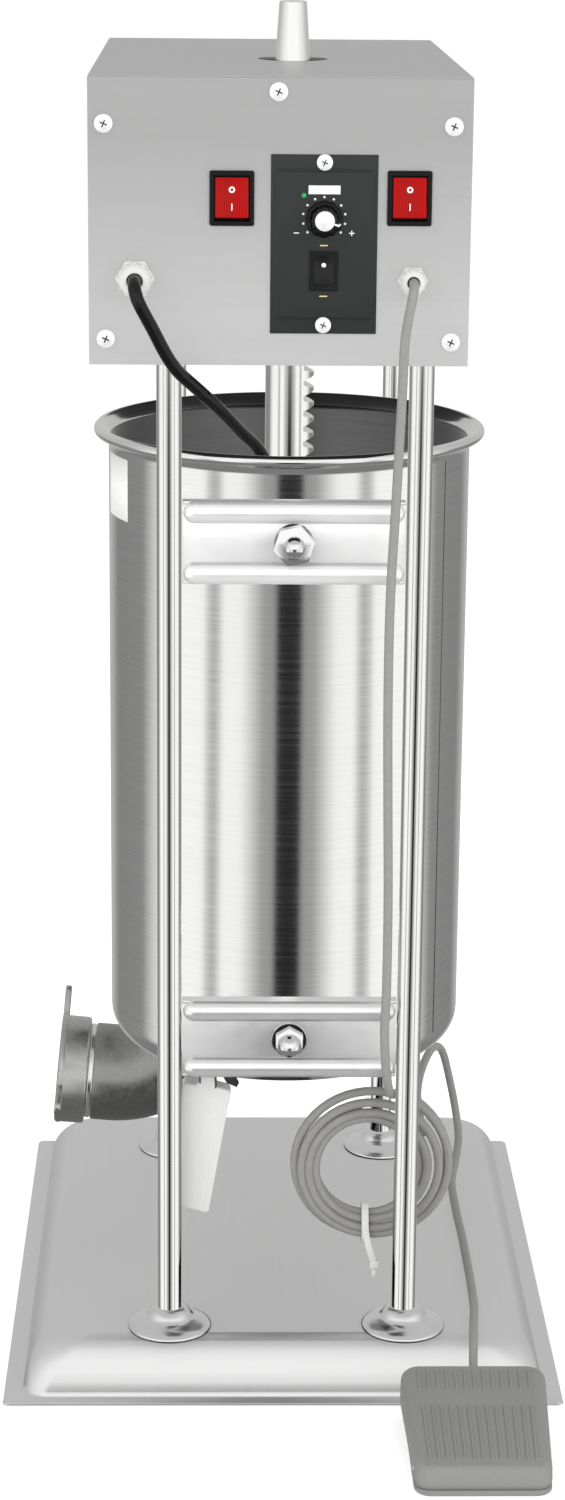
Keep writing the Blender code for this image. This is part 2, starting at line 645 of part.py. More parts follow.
def build_lever():
    px, py, pz = LEVER_PIVOT
    outer = [(-64.6, 191.0), (-63.0, 193.2), (-57, 192.2), (-54.5, 193.5), (-54.5, 212), (-44.5, 212),
             (-43.5, 190.5), (-36.5, 188.6), (-35.0, 186.8), (-48.1, 109.0), (-50.4, 107.6), (-66.8, 112.0),
             (-68.6, 114.4)]
    points = [(x - px, z - pz) for x, z in outer]
    lever = outline("grip_lever", points, 13, WHITE, (px, py, pz), TO_FRONT)
    add_bevel(lever, 1.6, 2)
    cut(lever, cylinder("lever_bore", 3.1, 40, None, (px, py, pz), TO_FRONT, sides=16, guide=True))
    pin = block("lever_bracket", (px - 8, py - 9.6, pz - 6), (px + 8, py - 7.2, pz + 14), DARK_STEEL)
    join(pin, cylinder("lever_pin", 2.7, 20, None, (px, py - 0.2, pz), TO_FRONT, sides=16, guide=True))
    ear = [(-43, 212), (-36, 206), (-30, 194.5), (-31.5, 191.8), (-37.5, 194.5), (-43, 204)]
    join(pin, outline("bracket_ear", ear, 2.0, None, (0, py - 8.4, 0), TO_FRONT, guide=True))


# Foot pedal --------------------------------------------------------------------------------------
PEDAL_PIN = (112.0, -278.0, 10.5)


def loft(name, rings, mat, location=(0, 0, 0), guide=False):
    """Closed body through a stack of equal-count rings of points."""
    bm = bmesh.new()
    stacks = [[bm.verts.new(Vector(point) * MM) for point in ring] for ring in rings]
    for lower, upper in zip(stacks, stacks[1:]):
        for i in range(len(lower)):
            j = (i + 1) % len(lower)
            bm.faces.new((lower[i], lower[j], upper[j], upper[i]))
    bm.faces.new(stacks[0])
    bm.faces.new(stacks[-1])
    return bmesh_object(name, bm, mat, location, guide=guide)


def pedal_ring(half_near, half_far, near, far, z_near, z_far, radius):
    """A tapered outline with rounded corners, near end at low y, in a plane tilted along y."""
    points = []
    corners = [(half_far, far, 0), (-half_far, far, 90), (-half_near, near, 180), (half_near, near, 270)]
    for x, y, start in corners:
        cx = x - math.copysign(radius, x)
        cy = y - math.copysign(radius, y - (near + far) / 2)
        for px, py in arc(cx, cy, radius, start, start + 90, 4):
            blend = (py - near) / (far - near)
            points.append((px, py, z_near + (z_far - z_near) * blend))
    return points


def build_pedal():
    x, y, z = PEDAL_PIN
    place = (x, 0, 0)
    base = loft("pedal_base", [pedal_ring(39.5, 40.5, -292.5, -196, 0, 0, 9), pedal_ring(40, 41, -293, -195.5, 3.6, 3.6, 9)],
                GREY, place)
    inner = block("pedal_core", (x - 33, -284, 2), (x + 33, -204, 10.5), None, guide=True)
    join(base, inner)
    for side in (-1, 1):
        join(base, block("pin_ear", (x + side * 35 - 2, -283, 2), (x + side * 35 + 2, -273, 13.6), None, guide=True))
    cut(base, cylinder("pin_bore", 2.3, 200, None, PEDAL_PIN, (0, math.radians(90), 0), sides=12, guide=True))

    cover = loft("pedal_cover", [pedal_ring(40.2, 43.5, -292.6, -193, 4.4, 11.5, 9),
                                 pedal_ring(40.0, 44.0, -292.2, -190.5, 9.0, 17, 10),
                                 pedal_ring(39.0, 43.5, -291.0, -190.0, 16.2, 30, 11),
                                 pedal_ring(36.5, 41.5, -288.5, -192.5, 18.2, 33, 10)], GREY, place)
    cut(cover, loft("pedal_hollow", [pedal_ring(37.9, 41.2, -290.2, -195.4, -6, 2, 8),
                                     pedal_ring(37.6, 41.2, -289.6, -193.6, 13.8, 27.4, 8)], None, place, guide=True))
    cut(cover, cylinder("pin_bore", 2.3, 200, None, PEDAL_PIN, (0, math.radians(90), 0), sides=12, guide=True))
    cover.data.transform(Matrix.Translation(Vector((0, -y * MM, -z * MM))))
    cover.location = Vector(PEDAL_PIN) * MM
    cylinder("pedal_pin", 2.0, 81.5, POLISHED, PEDAL_PIN, (0, math.radians(90), 0), sides=12)


# Cords -------------------------------------------------------------------------------------------
def build_mains_cord():
    route = [(GLAND_LEFT[0], FACE_Y - 17.1, GLAND_LEFT[1]), (-91, -180.5, 685.6), (-89.3, -186.5, 678),
             (-81.5, -181, 662), (-69.5, -172.5, 639), (-54.5, -157, JOIN_Z)]
    wire("mains_cord", route, MAINS_R, BLACK, 6.8)
    start = Vector((-54.5, -157, JOIN_Z)) + Vector((0.18, 0.19, -0.2)) * 1.6
    drop = [start, (-43, -142, 609), (-31.5, -121, 593.5), (-18, -99, 575), (-6, -84, 540), (1, -75, 480),
            (2, -66, 400), (0, -55, 310), (-1, -45, 250), (-1, -42.5, 221.2)]
    wire("mains_cord_drop", drop, MAINS_R, BLACK, 18)
    middle = PISTON_Z + 22.3
    coil = [(42 + 10 * math.cos(math.radians(90 - a)), middle + 10 * math.sin(math.radians(90 - a)))
            for a in range(0, 360, 45)]
    turned("mains_cord_coil", coil, BLACK, steps=24, closed=True)
    low = PISTON_Z + 12.3
    plug = block("mains_plug", (-13, -19, low), (13, 17, low + 20), BLACK, bevel=3, segments=2)
    join(plug, cylinder("plug_neck", 6, 14, None, (0, -24, low + 10), TO_FRONT, sides=16, top=5, guide=True))
    for x, z, r in ((-6.3, 4, 0), (6.3, 4, 0), (0, -5, 2.4)):
        if r:
            prong = cylinder("ground_pin", r, 20, None, (x, 24, low + 10 + z), TO_FRONT, sides=12, guide=True)
        else:
            prong = block("blade", (x - 0.8, 14, low + 10 + z - 3.1), (x + 0.8, 33, low + 10 + z + 3.1), None,
                          guide=True)
        join(plug, prong)
    turn = Matrix.Rotation(math.radians(65), 4, "Z")
    for piece in [plug] + [m.object for m in plug.modifiers if m.type == "BOOLEAN"]:
        centre = Matrix.Translation(Vector((28, 59.8, 0)) * MM)
        piece.matrix_basis = centre @ turn @ piece.matrix_basis


def build_pedal_cord():
    route = [(GLAND_RIGHT[0], FACE_Y - 13.6, GLAND_RIGHT[1]), (65, -177.5, 685.4), (63.6, -181, 677), (60.4, -177, 655),
             (59.6, -170, 620), (57.8, -162.5, 561), (55.6, -159.5, 501), (55.4, -158.5, 441), (56.4, -158, 381),
             (57.6, -158, 319), (57.6, -158.5, 262), (56.8, -159, 238), (58.0, -157.5, 214), (60.6, -150, 196),
             (63.5, -137, 187.5), (67.5, -126, 184.3), (70.5, -121.5, 182.8)]
    wire("pedal_cord", route, PEDAL_CORD_R, CORD_GREY, 11)
    x, y, z = COIL_CENTRE
    ring = [(39.5 + 11.3 * math.cos(math.radians(90 - a)), 8.2 * math.sin(math.radians(90 - a)))
            for a in range(0, 360, 45)]
    turned("pedal_cord_coil", ring, CORD_GREY, (x, y, z), TO_FRONT, steps=28, closed=True)
    floor = BASE_TOP + PEDAL_CORD_R + 0.5
    route = [(82, -105.5, 149), (84, -88, 152), (86, -50, 144), (88, 0, 134), (94, 50, 131), (104, 95, 129),
             (114, 135, 112), (122, 150, 80), (126.5, 148, 56), (127, 136, 45), (123, 110, floor + 0.6),
             (118, 74, floor), (117.5, 30, floor), (118.5, -20, floor), (118.8, -85, floor), (118, -125, floor + 0.6),
             (116, -148, 40.6), (114.8, -163, 38.5), (114, -174, 32.8), (113.5, -182, 27.2), (113.2, -187.4, 25.2)]
    wire("pedal_cord_lower", route, PEDAL_CORD_R, CORD_GREY, 16)


build_base()
build_posts()
build_crossbars()
build_housing()
build_screws()
build_controller()
build_switch("left", SWITCH_LEFT)
build_switch("right", SWITCH_RIGHT)
build_gland("mains_gland", GLAND_LEFT, 1.0)
build_gland("pedal_gland", GLAND_RIGHT, 0.78)
build_barrel()
build_spout()
build_piston()
build_rack()
build_pinion()
build_lever()
build_pedal()
build_mains_cord()
build_pedal_cord()
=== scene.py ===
"""Looks of a vertical electric sausage stuffer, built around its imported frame.

Every piece is made in the row frame (metres, +Z up, barrel on the Z axis, panel facing -Y).
"""

import json
from math import atan2, copysign, cos, degrees, hypot, pi, radians, sin, tan

import bmesh
import bpy
from mathutils import Matrix, Vector

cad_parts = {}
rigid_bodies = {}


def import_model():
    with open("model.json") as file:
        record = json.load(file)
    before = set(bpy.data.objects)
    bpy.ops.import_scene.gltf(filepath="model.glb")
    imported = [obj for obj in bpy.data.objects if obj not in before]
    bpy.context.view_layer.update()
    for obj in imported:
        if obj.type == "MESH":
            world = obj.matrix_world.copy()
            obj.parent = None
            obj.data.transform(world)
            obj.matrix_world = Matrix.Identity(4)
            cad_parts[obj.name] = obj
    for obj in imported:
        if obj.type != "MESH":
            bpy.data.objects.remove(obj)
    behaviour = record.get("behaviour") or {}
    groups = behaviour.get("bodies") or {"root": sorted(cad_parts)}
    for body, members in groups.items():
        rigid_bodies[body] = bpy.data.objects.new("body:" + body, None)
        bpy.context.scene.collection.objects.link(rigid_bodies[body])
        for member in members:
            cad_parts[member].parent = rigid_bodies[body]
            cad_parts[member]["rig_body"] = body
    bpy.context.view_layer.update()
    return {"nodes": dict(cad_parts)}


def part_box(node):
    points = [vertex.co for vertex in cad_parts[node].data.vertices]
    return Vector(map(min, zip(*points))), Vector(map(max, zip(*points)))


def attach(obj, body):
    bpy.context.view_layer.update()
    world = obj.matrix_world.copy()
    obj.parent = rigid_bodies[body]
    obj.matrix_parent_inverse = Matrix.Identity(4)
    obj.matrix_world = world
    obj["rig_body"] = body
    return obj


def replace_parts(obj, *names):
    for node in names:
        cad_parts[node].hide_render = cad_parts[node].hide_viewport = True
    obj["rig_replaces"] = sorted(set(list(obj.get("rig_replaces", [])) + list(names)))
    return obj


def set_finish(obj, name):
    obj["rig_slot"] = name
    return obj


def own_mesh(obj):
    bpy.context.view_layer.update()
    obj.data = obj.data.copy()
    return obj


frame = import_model()

MM = 0.001
NODES = frame["nodes"]

# Main sizes, as the frame has them
PAN_TOP = 36.5
POST_R = 7.25
RACK_R = 15.0
BARREL_R = 111.6
BARREL_WALL = 1.5
BARREL_CORNER = 20.0
RIM_R = 117.4
RIM_WIRE = 3.3
CROSSBAR_PLANE = 144.0
MAINS_R = 3.75
PEDAL_CORD_R = 2.75
SPOUT_TILT = radians(5.0)
ROCKER_REST = radians(-10.0)
KNOB_REST = radians(108.0)
# The pedal's top surface: its near and far edges, as Y and height
COVER_NEAR = (-288.2, 18.2)
COVER_FAR = (-193.0, 33.0)


def spin(angle, axis):
    return Matrix.Rotation(radians(angle), 4, axis)


FRONT = spin(90, "X")
REAR = spin(-90, "X")
ALONG_X = spin(90, "Y")


def box_mm(node):
    """Lowest and highest corners of a CAD node, in millimetres."""
    low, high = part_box(node)
    return low / MM, high / MM


def middle(node):
    low, high = box_mm(node)
    return (low + high) / 2


def at(place, turn=Matrix.Identity(4)):
    return Matrix.Translation(Vector(place)) @ turn


RUN_Z = box_mm("speed_controller")[0].z + 35.5
KNOB_Z = box_mm("speed_controller")[0].z + 64.6


# Materials -------------------------------------------------
SLOTS = {}


def shader(name, slot, color, metallic, roughness, **sockets):
    """A plain material, and the slot that pieces made of it go in."""
    mat = bpy.data.materials.new(name)
    SLOTS[mat.name] = slot
    mat.use_nodes = True
    main = mat.node_tree.nodes["Principled BSDF"]
    main.inputs["Base Color"].default_value = (*color, 1.0)
    main.inputs["Metallic"].default_value = metallic
    main.inputs["Roughness"].default_value = roughness
    for socket, value in sockets.items():
        main.inputs[socket.replace("_", " ")].default_value = value
    return mat


def add_node(tree, kind, settings=None, **inputs):
    """A new shader node; an input is a plain value or the output socket that feeds it."""
    node = tree.nodes.new(kind)
    for name, value in (settings or {}).items():
        setattr(node, name, value)
    for name, value in inputs.items():
        socket = node.inputs[name.replace("_", " ")]
        if isinstance(value, bpy.types.NodeSocket):
            tree.links.new(value, socket)
        else:
            socket.default_value = value
    return node


def object_place(tree):
    return add_node(tree, "ShaderNodeTexCoord").outputs["Object"]


def made_of(name, slot, color, metallic, roughness, cells, tint, rough, bump=0.0, detail=4.0,
            distance=0.0002, **sockets):
    """A material broken up by noise: color is a tone or RGB, cells are per metre, or for X, Y and Z."""
    if isinstance(color, float):
        color = (color, color, color)
    if isinstance(cells, int):
        cells = (cells, cells, cells)
    mat = shader(name, slot, color, metallic, roughness, **sockets)
    tree = mat.node_tree
    main = tree.nodes["Principled BSDF"]
    place = add_node(tree, "ShaderNodeMapping", Vector=object_place(tree), Scale=cells)
    noise = add_node(tree, "ShaderNodeTexNoise", Vector=place.outputs[0], Scale=1.0, Detail=detail)
    noise = noise.outputs["Fac"]
    ramp = add_node(tree, "ShaderNodeValToRGB", Fac=noise)
    for element, position, change in zip(ramp.color_ramp.elements, (0.3, 0.7), (1 - tint, 1 + tint)):
        element.position = position
        element.color = (*(min(1.0, c * change) for c in color), 1)
    tree.links.new(ramp.outputs["Color"], main.inputs["Base Color"])
    spread = add_node(tree, "ShaderNodeMapRange", Value=noise, From_Min=0.3, From_Max=0.7,
                      To_Min=max(0.02, roughness - rough), To_Max=roughness + rough)
    tree.links.new(spread.outputs["Result"], main.inputs["Roughness"])
    if bump:
        relief = add_node(tree, "ShaderNodeBump", Height=noise, Strength=bump, Distance=distance)
        tree.links.new(relief.outputs["Normal"], main.inputs["Normal"])
    return mat


POLISHED = made_of("polished_steel", "polished_steel", 0.86, 1.0, 0.07, 60, 0.02, 0.02)
POST_STEEL = made_of("post_steel", "polished_steel", (0.88, 0.88, 0.87), 1.0, 0.08, (400, 400, 6), 0.03, 0.03)
SATIN = made_of("satin_steel", "polished_steel", 0.86, 1.0, 0.20, 90, 0.02, 0.03)
# Painted light: a whiter copy of the satin steel, for the upper crossbars.
PAINTED_LIGHT_SATIN = made_of("bright_satin_steel", "polished_steel", 0.96, 0.48, 0.22, 90, 0.02, 0.03)
PLAIN = made_of("plain_satin_steel", "polished_steel", 0.92, 0.74, 0.24, 90, 0.02, 0.03)
BRUSHED = made_of("barrel_steel", "brushed_steel", (0.86, 0.86, 0.855), 1.0, 0.12, (14, 14, 900), 0.05, 0.03,
                  0.05, 5.0)
# Painted shade: a dark copy of the barrel steel, for the barrel's inner side.
PAINTED_INSIDE_SHADE = made_of("barrel_inside", None, 0.115, 1.0, 0.20, (14, 14, 500), 0.10, 0.05)
SHEET = made_of("housing_sheet", None, 0.80, 0.80, 0.42, (9, 9, 900), 0.015, 0.03, 0.02)
PAN = made_of("pan_sheet", "polished_steel", 0.80, 0.86, 0.30, (500, 9, 9), 0.01, 0.02)
CAST = made_of("cast_steel", "cast_steel", (0.31, 0.31, 0.305), 1.0, 0.34, 300, 0.10, 0.05, 0.18,
               distance=0.0003)
NUT = made_of("ring_nut_steel", "cast_steel", (0.50, 0.50, 0.49), 1.0, 0.30, 300, 0.08, 0.05, 0.16,
              distance=0.0003)
MACHINED = made_of("machined_steel", "cast_steel", (0.80, 0.80, 0.79), 1.0, 0.22, (900, 60, 60), 0.06, 0.05)
DARK_STEEL = made_of("dark_steel", None, (0.10, 0.10, 0.105), 1.0, 0.42, 200, 0.15, 0.08, 0.1)
# Dark seam material: a real seam line on the barrel, and painted shade in screw recesses, under the foot
# flanges and on the lever's lug.
DARK_SEAM_AND_PAINTED_SHADE = made_of("seam_shadow", "brushed_steel", 0.12, 1.0, 0.4, 200, 0.1, 0.05)
PANEL = made_of("panel_plastic", "panel_plastic", (0.015, 0.019, 0.017), 0.0, 0.5, 1500, 0.10, 0.06, 0.12)
BLACK = made_of("black_plastic", "black_plastic", 0.004, 0.0, 0.34, 1200, 0.15, 0.06, 0.08,
                Specular_IOR_Level=0.35)
WELL = made_of("switch_bezel", None, (0.005, 0.0045, 0.0045), 0.0, 0.5, 1200, 0.15, 0.06, 0.08,
               Specular_IOR_Level=0.25)
WHITE = made_of("white_nylon", "white_plastic", (0.70, 0.70, 0.69), 0.0, 0.42, 300, 0.03, 0.06, 0.05)
LEVER = made_of("lever_plastic", "white_plastic", (0.66, 0.66, 0.655), 0.0, 0.45, 300, 0.02, 0.05, 0.04)
MARK = made_of("white_print", "white_plastic", (0.86, 0.86, 0.84), 0.0, 0.5, 900, 0.03, 0.04)
CAP = made_of("knob_cap_metal", "polished_steel", 0.92, 0.35, 0.25, 600, 0.03, 0.04)
GILT = made_of("pale_gold_print", "white_plastic", (0.70, 0.58, 0.30), 0.0, 0.45, 900, 0.05, 0.04)
GREY = made_of("grey_plastic", "grey_plastic", (0.25, 0.25, 0.245), 0.0, 0.46, 700, 0.05, 0.05, 0.12,
               distance=0.0003)
MAINS = made_of("black_sheath", "black_cord", 0.003, 0.0, 0.26, 500, 0.2, 0.06, 0.05, Specular_IOR_Level=0.35)
FLEX = made_of("grey_sheath", "grey_cord", (0.27, 0.267, 0.26), 0.0, 0.42, 260, 0.05, 0.06, 0.06)
LABEL = made_of("blank_label", "white_plastic", (0.88, 0.88, 0.87), 0.0, 0.55, 400, 0.02, 0.04)
LAMP = made_of("green_lamp", "panel_plastic", (0.03, 0.36, 0.13), 0.0, 0.25, 600, 0.1, 0.05)


def red_lens():
    """Moulded red lens with fine upright ribs inside, and a faint painted glow from its emission."""
    mat = shader("red_lens", "red_lens", (0.50, 0.004, 0.004), 0.0, 0.30, Specular_IOR_Level=0.12,
                 Coat_Weight=0.05, Coat_Roughness=0.10, Emission_Color=(0.9, 0.01, 0.008, 1.0),
                 Emission_Strength=0.05)
    tree = mat.node_tree
    ribs = add_node(tree, "ShaderNodeTexWave", {"bands_direction": "X"}, Vector=object_place(tree),
                    Scale=260.0, Distortion=0.4)
    ramp = add_node(tree, "ShaderNodeValToRGB", Fac=ribs.outputs["Fac"])
    ramp.color_ramp.elements[0].color = (0.22, 0.001, 0.001, 1)
    ramp.color_ramp.elements[1].color = (0.42, 0.003, 0.003, 1)
    tree.links.new(ramp.outputs["Color"], tree.nodes["Principled BSDF"].inputs["Base Color"])
    return mat


RED = red_lens()


def painted_shade_upwards(mat, low, high, shade_tones):
    """Painted shade: tints a material from one tone to another between two heights, given in millimetres."""
    tree = mat.node_tree
    color = tree.nodes["Principled BSDF"].inputs["Base Color"]
    axes = add_node(tree, "ShaderNodeSeparateXYZ", Vector=object_place(tree))
    height = add_node(tree, "ShaderNodeMapRange", Value=axes.outputs["Z"], From_Min=low * MM,
                      From_Max=high * MM, To_Min=shade_tones[0], To_Max=shade_tones[1])
    tint = add_node(tree, "ShaderNodeMix", {"data_type": "RGBA", "blend_type": "MULTIPLY"}, Factor=1.0,
                    A=color.links[0].from_socket, B=height.outputs["Result"])
    tree.links.new(tint.outputs["Result"], color)


# Painted shade: the housing sheet is darkened towards its top, standing in for the light falling off upwards.
painted_shade_upwards(SHEET, 665, 765, (0.95, 0.68))


# Mesh helpers ----------------------------------------------
def piece(name, bm, mat, replaces=(), smooth=34, body="frame", extra=(), slot=None):
    """Turns a bmesh in millimetres into a piece in metres that rides on a body, in its material's slot."""
    bmesh.ops.recalc_face_normals(bm, faces=bm.faces)
    bmesh.ops.scale(bm, vec=(MM, MM, MM), verts=bm.verts)
    mesh = bpy.data.meshes.new(name)
    bm.to_mesh(mesh)
    bm.free()
    for each in (mat, *extra):
        mesh.materials.append(each)
    mesh.shade_smooth()
    mesh.set_sharp_from_angle(angle=radians(smooth))
    obj = bpy.data.objects.new(name, mesh)
    bpy.context.scene.collection.objects.link(obj)
    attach(obj, body)
    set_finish(obj, slot or SLOTS[mat.name])
    if replaces:
        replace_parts(obj, *replaces)
    return obj


def revolve(bm, profile, matrix=Matrix.Identity(4), steps=64, closed=False):
    """Turns a profile of (radius, height) about the local Z axis."""
    rings = []
    for radius, height in profile:
        count = 1 if radius == 0 else steps
        ring = []
        for i in range(count):
            angle = 2 * pi * i / count
            ring.append(bm.verts.new(matrix @ Vector((radius * cos(angle), radius * sin(angle), height))))
        rings.append(ring)
    pairs = list(zip(rings, rings[1:]))
    if closed:
        pairs.append((rings[-1], rings[0]))
    for upper, lower in pairs:
        for i in range(steps):
            j = i + 1
            corners = (upper[i % len(upper)], upper[j % len(upper)], lower[j % len(lower)],
                       lower[i % len(lower)])
            corners = list(dict.fromkeys(corners))
            if len(corners) > 2:
                bm.faces.new(corners)


def turned(name, profile, mat, place=(0, 0, 0), turn=Matrix.Identity(4), steps=64, closed=False, **how):
    """A turned piece; how holds what piece() also takes."""
    bm = bmesh.new()
    revolve(bm, profile, at(place, turn), steps, closed)
    return piece(name, bm, mat, **how)


def add_box(bm, low, high, bevel=0.0, segments=3, matrix=Matrix.Identity(4)):
    low, high = Vector(low), Vector(high)
    made = bmesh.ops.create_cube(bm, size=1.0)["verts"]
    bmesh.ops.scale(bm, vec=high - low, verts=made)
    bmesh.ops.translate(bm, vec=(high + low) / 2, verts=made)
    if bevel:
        edges = list({edge for vert in made for edge in vert.link_edges})
        result = bmesh.ops.bevel(bm, geom=edges, offset=bevel, segments=segments, affect="EDGES", profile=0.5)
        made = list({v for f in result["faces"] for v in f.verts} | {v for v in made if v.is_valid})
    bmesh.ops.transform(bm, matrix=matrix, verts=made)
    return made


def add_prism(bm, points, depth, matrix=Matrix.Identity(4), bevel=0.0, segments=2):
    """A flat outline in the local XY plane, extruded both ways along local Z by half its depth."""
    verts = [bm.verts.new((x, y, -depth / 2)) for x, y in points]
    face = bm.faces.new(verts)
    grown = bmesh.ops.extrude_face_region(bm, geom=[face])["geom"]
    upper = [item for item in grown if isinstance(item, bmesh.types.BMVert)]
    bmesh.ops.translate(bm, vec=(0, 0, depth), verts=upper)
    made = verts + upper
    if bevel:
        rims = [edge for vert in made for edge in vert.link_edges
                if abs(edge.verts[0].co.z - edge.verts[1].co.z) < 1e-6]
        result = bmesh.ops.bevel(bm, geom=list(set(rims)), offset=bevel, segments=segments, affect="EDGES",
                                 profile=0.5)
        made = list({v for f in result["faces"] for v in f.verts} | {v for v in made if v.is_valid})
    bmesh.ops.transform(bm, matrix=matrix, verts=made)
    return made


def arc(cx, cy, radius, start, end, count):
    """Points on an arc, with angles in degrees."""
    return [(cx + radius * cos(radians(start + (end - start) * i / count)),
             cy + radius * sin(radians(start + (end - start) * i / count)))
            for i in range(count + 1)]


def polygon(sides, radius):
    return [(radius * cos(2 * pi * i / sides), radius * sin(2 * pi * i / sides)) for i in range(sides)]


def smooth_path(points, spacing):
    """Points about one spacing apart on a smooth curve through the given points."""
    route = [Vector(p) for p in points]
    route = [2 * route[0] - route[1]] + route + [2 * route[-1] - route[-2]]
    dense = []
    for a, b, c, d in zip(route, route[1:], route[2:], route[3:]):
        for step in range(24):
            t = step / 24
            dense.append(0.5 * (2 * b + (c - a) * t + (2 * a - 5 * b + 4 * c - d) * t ** 2
                                + (3 * b - a - 3 * c + d) * t ** 3))
    dense.append(route[-2])
    length = sum((q - p).length for p, q in zip(dense, dense[1:]))
    count = max(2, round(length / spacing))
    result = [dense[0]]
    walked = 0.0
    for p, q in zip(dense, dense[1:]):
        step = (q - p).length
        while len(result) < count and walked + step >= length * len(result) / count:
            result.append(p.lerp(q, (length * len(result) / count - walked) / step))
        walked += step
    result.append(dense[-1])
    return result, length


def loft(bm, rings, caps=(0, -1), closed=False):
    """Skins a row of rings and caps the named ones; closed joins the last ring to the first instead."""
    stacks = [[bm.verts.new(point) for point in ring] for ring in rings]
    for lower, upper in zip(stacks, stacks[1:] + stacks[:1] if closed else stacks[1:]):
        for i in range(len(lower)):
            j = (i + 1) % len(lower)
            bm.faces.new((lower[i], lower[j], upper[j], upper[i]))
    for end in () if closed else caps:
        bm.faces.new(stacks[end])


def apply_all(obj):
    """Replaces an object's mesh by what its modifiers make of it."""
    bpy.context.view_layer.update()
    depsgraph = bpy.context.evaluated_depsgraph_get()
    mesh = bpy.data.meshes.new_from_object(obj.evaluated_get(depsgraph))
    obj.modifiers.clear()
    obj.data = mesh
    return obj


def cut_with(obj, bm, smooth=34, mat=None):
    """Cuts a shape, given as a bmesh in millimetres, out of a piece; mat colours the cut's walls."""
    bmesh.ops.recalc_face_normals(bm, faces=bm.faces)
    bmesh.ops.scale(bm, vec=(MM, MM, MM), verts=bm.verts)
    mesh = bpy.data.meshes.new("cutter")
    bm.to_mesh(mesh)
    bm.free()
    tool = bpy.data.objects.new("cutter", mesh)
    bpy.context.scene.collection.objects.link(tool)
    step = obj.modifiers.new("Cut", "BOOLEAN")
    step.solver = "EXACT"
    if mat:
        mesh.materials.append(mat)
        step.material_mode = "TRANSFER"
    step.object = tool
    apply_all(obj)
    bpy.data.objects.remove(tool, do_unlink=True)
    obj.data.shade_smooth()
    obj.data.set_sharp_from_angle(angle=radians(smooth))
    return obj


def paint(mat, *names):
    """Gives carried-over CAD nodes their material."""
    for name in names:
        for slot in NODES[name].material_slots:
            slot.material = mat


# Base ------------------------------------------------------
def pan_ring(low, high, inset, height, radius):
    """One level of the pan; its sides slope in faster at the front than at the back."""
    x0, y0 = low.x + 0.78 * inset, low.y + 0.6 * inset
    x1, y1 = high.x - 0.78 * inset, high.y - inset
    ring = []
    for cx, cy, start in ((x1 - radius, y1 - radius, 0), (x0 + radius, y1 - radius, 90),
                          (x0 + radius, y0 + radius, 180), (x1 - radius, y0 + radius, 270)):
        ring += [Vector((x, y, height)) for x, y in arc(cx, cy, radius, start, start + 90, 8)]
    return ring


def build_base():
    low, high = box_mm("base_pan")
    slope = [(15.6, 9.4, 17), (19, 18, 19), (25, 26.5, 21), (33, 33.5, 23), (44, PAN_TOP, 25)]
    curve, _length = smooth_path(slope, 2.4)
    levels = [(0.0, 0.9, 4.0), (0.5, 1.8, 4.0), (1.4, 2.0, 4.5), (13.6, 2.0, 13.6), (14.4, 2.5, 14.4),
              (15.0, 5.5, 16.0)]
    levels += [tuple(point) for point in curve]
    levels += [(47.5, PAN_TOP, 26), (56, PAN_TOP, 28)]
    bm = bmesh.new()
    loft(bm, [pan_ring(low, high, *level) for level in levels], caps=(-1,))
    pan = piece("pressed_base", bm, PAN, ("base_pan",), smooth=50)
    thicken(pan, 1.4)
    paint(DARK_STEEL, "base_stiffener")


def build_posts():
    for place in ("front_left", "front_right", "rear_left", "rear_right"):
        low, high = box_mm("post_" + place)
        centre = middle("post_" + place)
        x, y = centre.x, centre.y
        profile = [(0, high.z), (POST_R - 0.8, high.z), (POST_R, high.z - 0.8), (POST_R, 31.6), (0, 31.6)]
        bm = bmesh.new()
        revolve(bm, profile, at((x, y, 0)), 48)
        nut = [(0, 31.5), (POST_R, 31.5), (11, 31.5), (11, 22), (POST_R, 22), (POST_R, low.z + 0.5),
               (POST_R - 0.5, low.z), (0, low.z)]
        revolve(bm, nut, at((x, y, 0)), 24)
        piece("round_post_" + place, bm, POST_STEEL, ("post_" + place,))

        flange_low, flange_high = box_mm("post_flange_" + place)
        hole = POST_R + 0.15
        top = flange_high.z
        dome = [(hole, top), (8.6, top), (10.2, top - 0.7), (11.9, top - 2.2), (13.1, top - 4.2),
                (14.2, top - 6.0), (15.8, top - 7.1), (18.6, top - 7.9), (21.6, top - 8.9),
                (24.0, top - 10.3), (25.3, top - 11.4), (25.8, top - 12.3), (25.5, flange_low.z),
                (hole, flange_low.z)]
        bm = bmesh.new()
        revolve(bm, dome, at((x, y, 0)), 64, closed=True)
        # The flange's bottom skirt takes the dark seam material: a painted shadow line where the flange meets
        # the pan.
        for face in bm.faces:
            if face.calc_center_median().z < top - 12.0:
                face.material_index = 1
        piece("foot_flange_" + place, bm, SATIN, ("post_flange_" + place,), 50, extra=(DARK_SEAM_AND_PAINTED_SHADE,))


def capsule(radius, length, ends=6):
    """Profile of a rod with round ends, centred on the local Z axis."""
    half = length / 2 - radius
    upper = [(radius * sin(radians(90 * i / ends)), half + radius * cos(radians(90 * i / ends)))
             for i in range(ends + 1)]
    upper[0] = (0, half + radius)
    return upper + [(r, -h) for r, h in reversed(upper)]


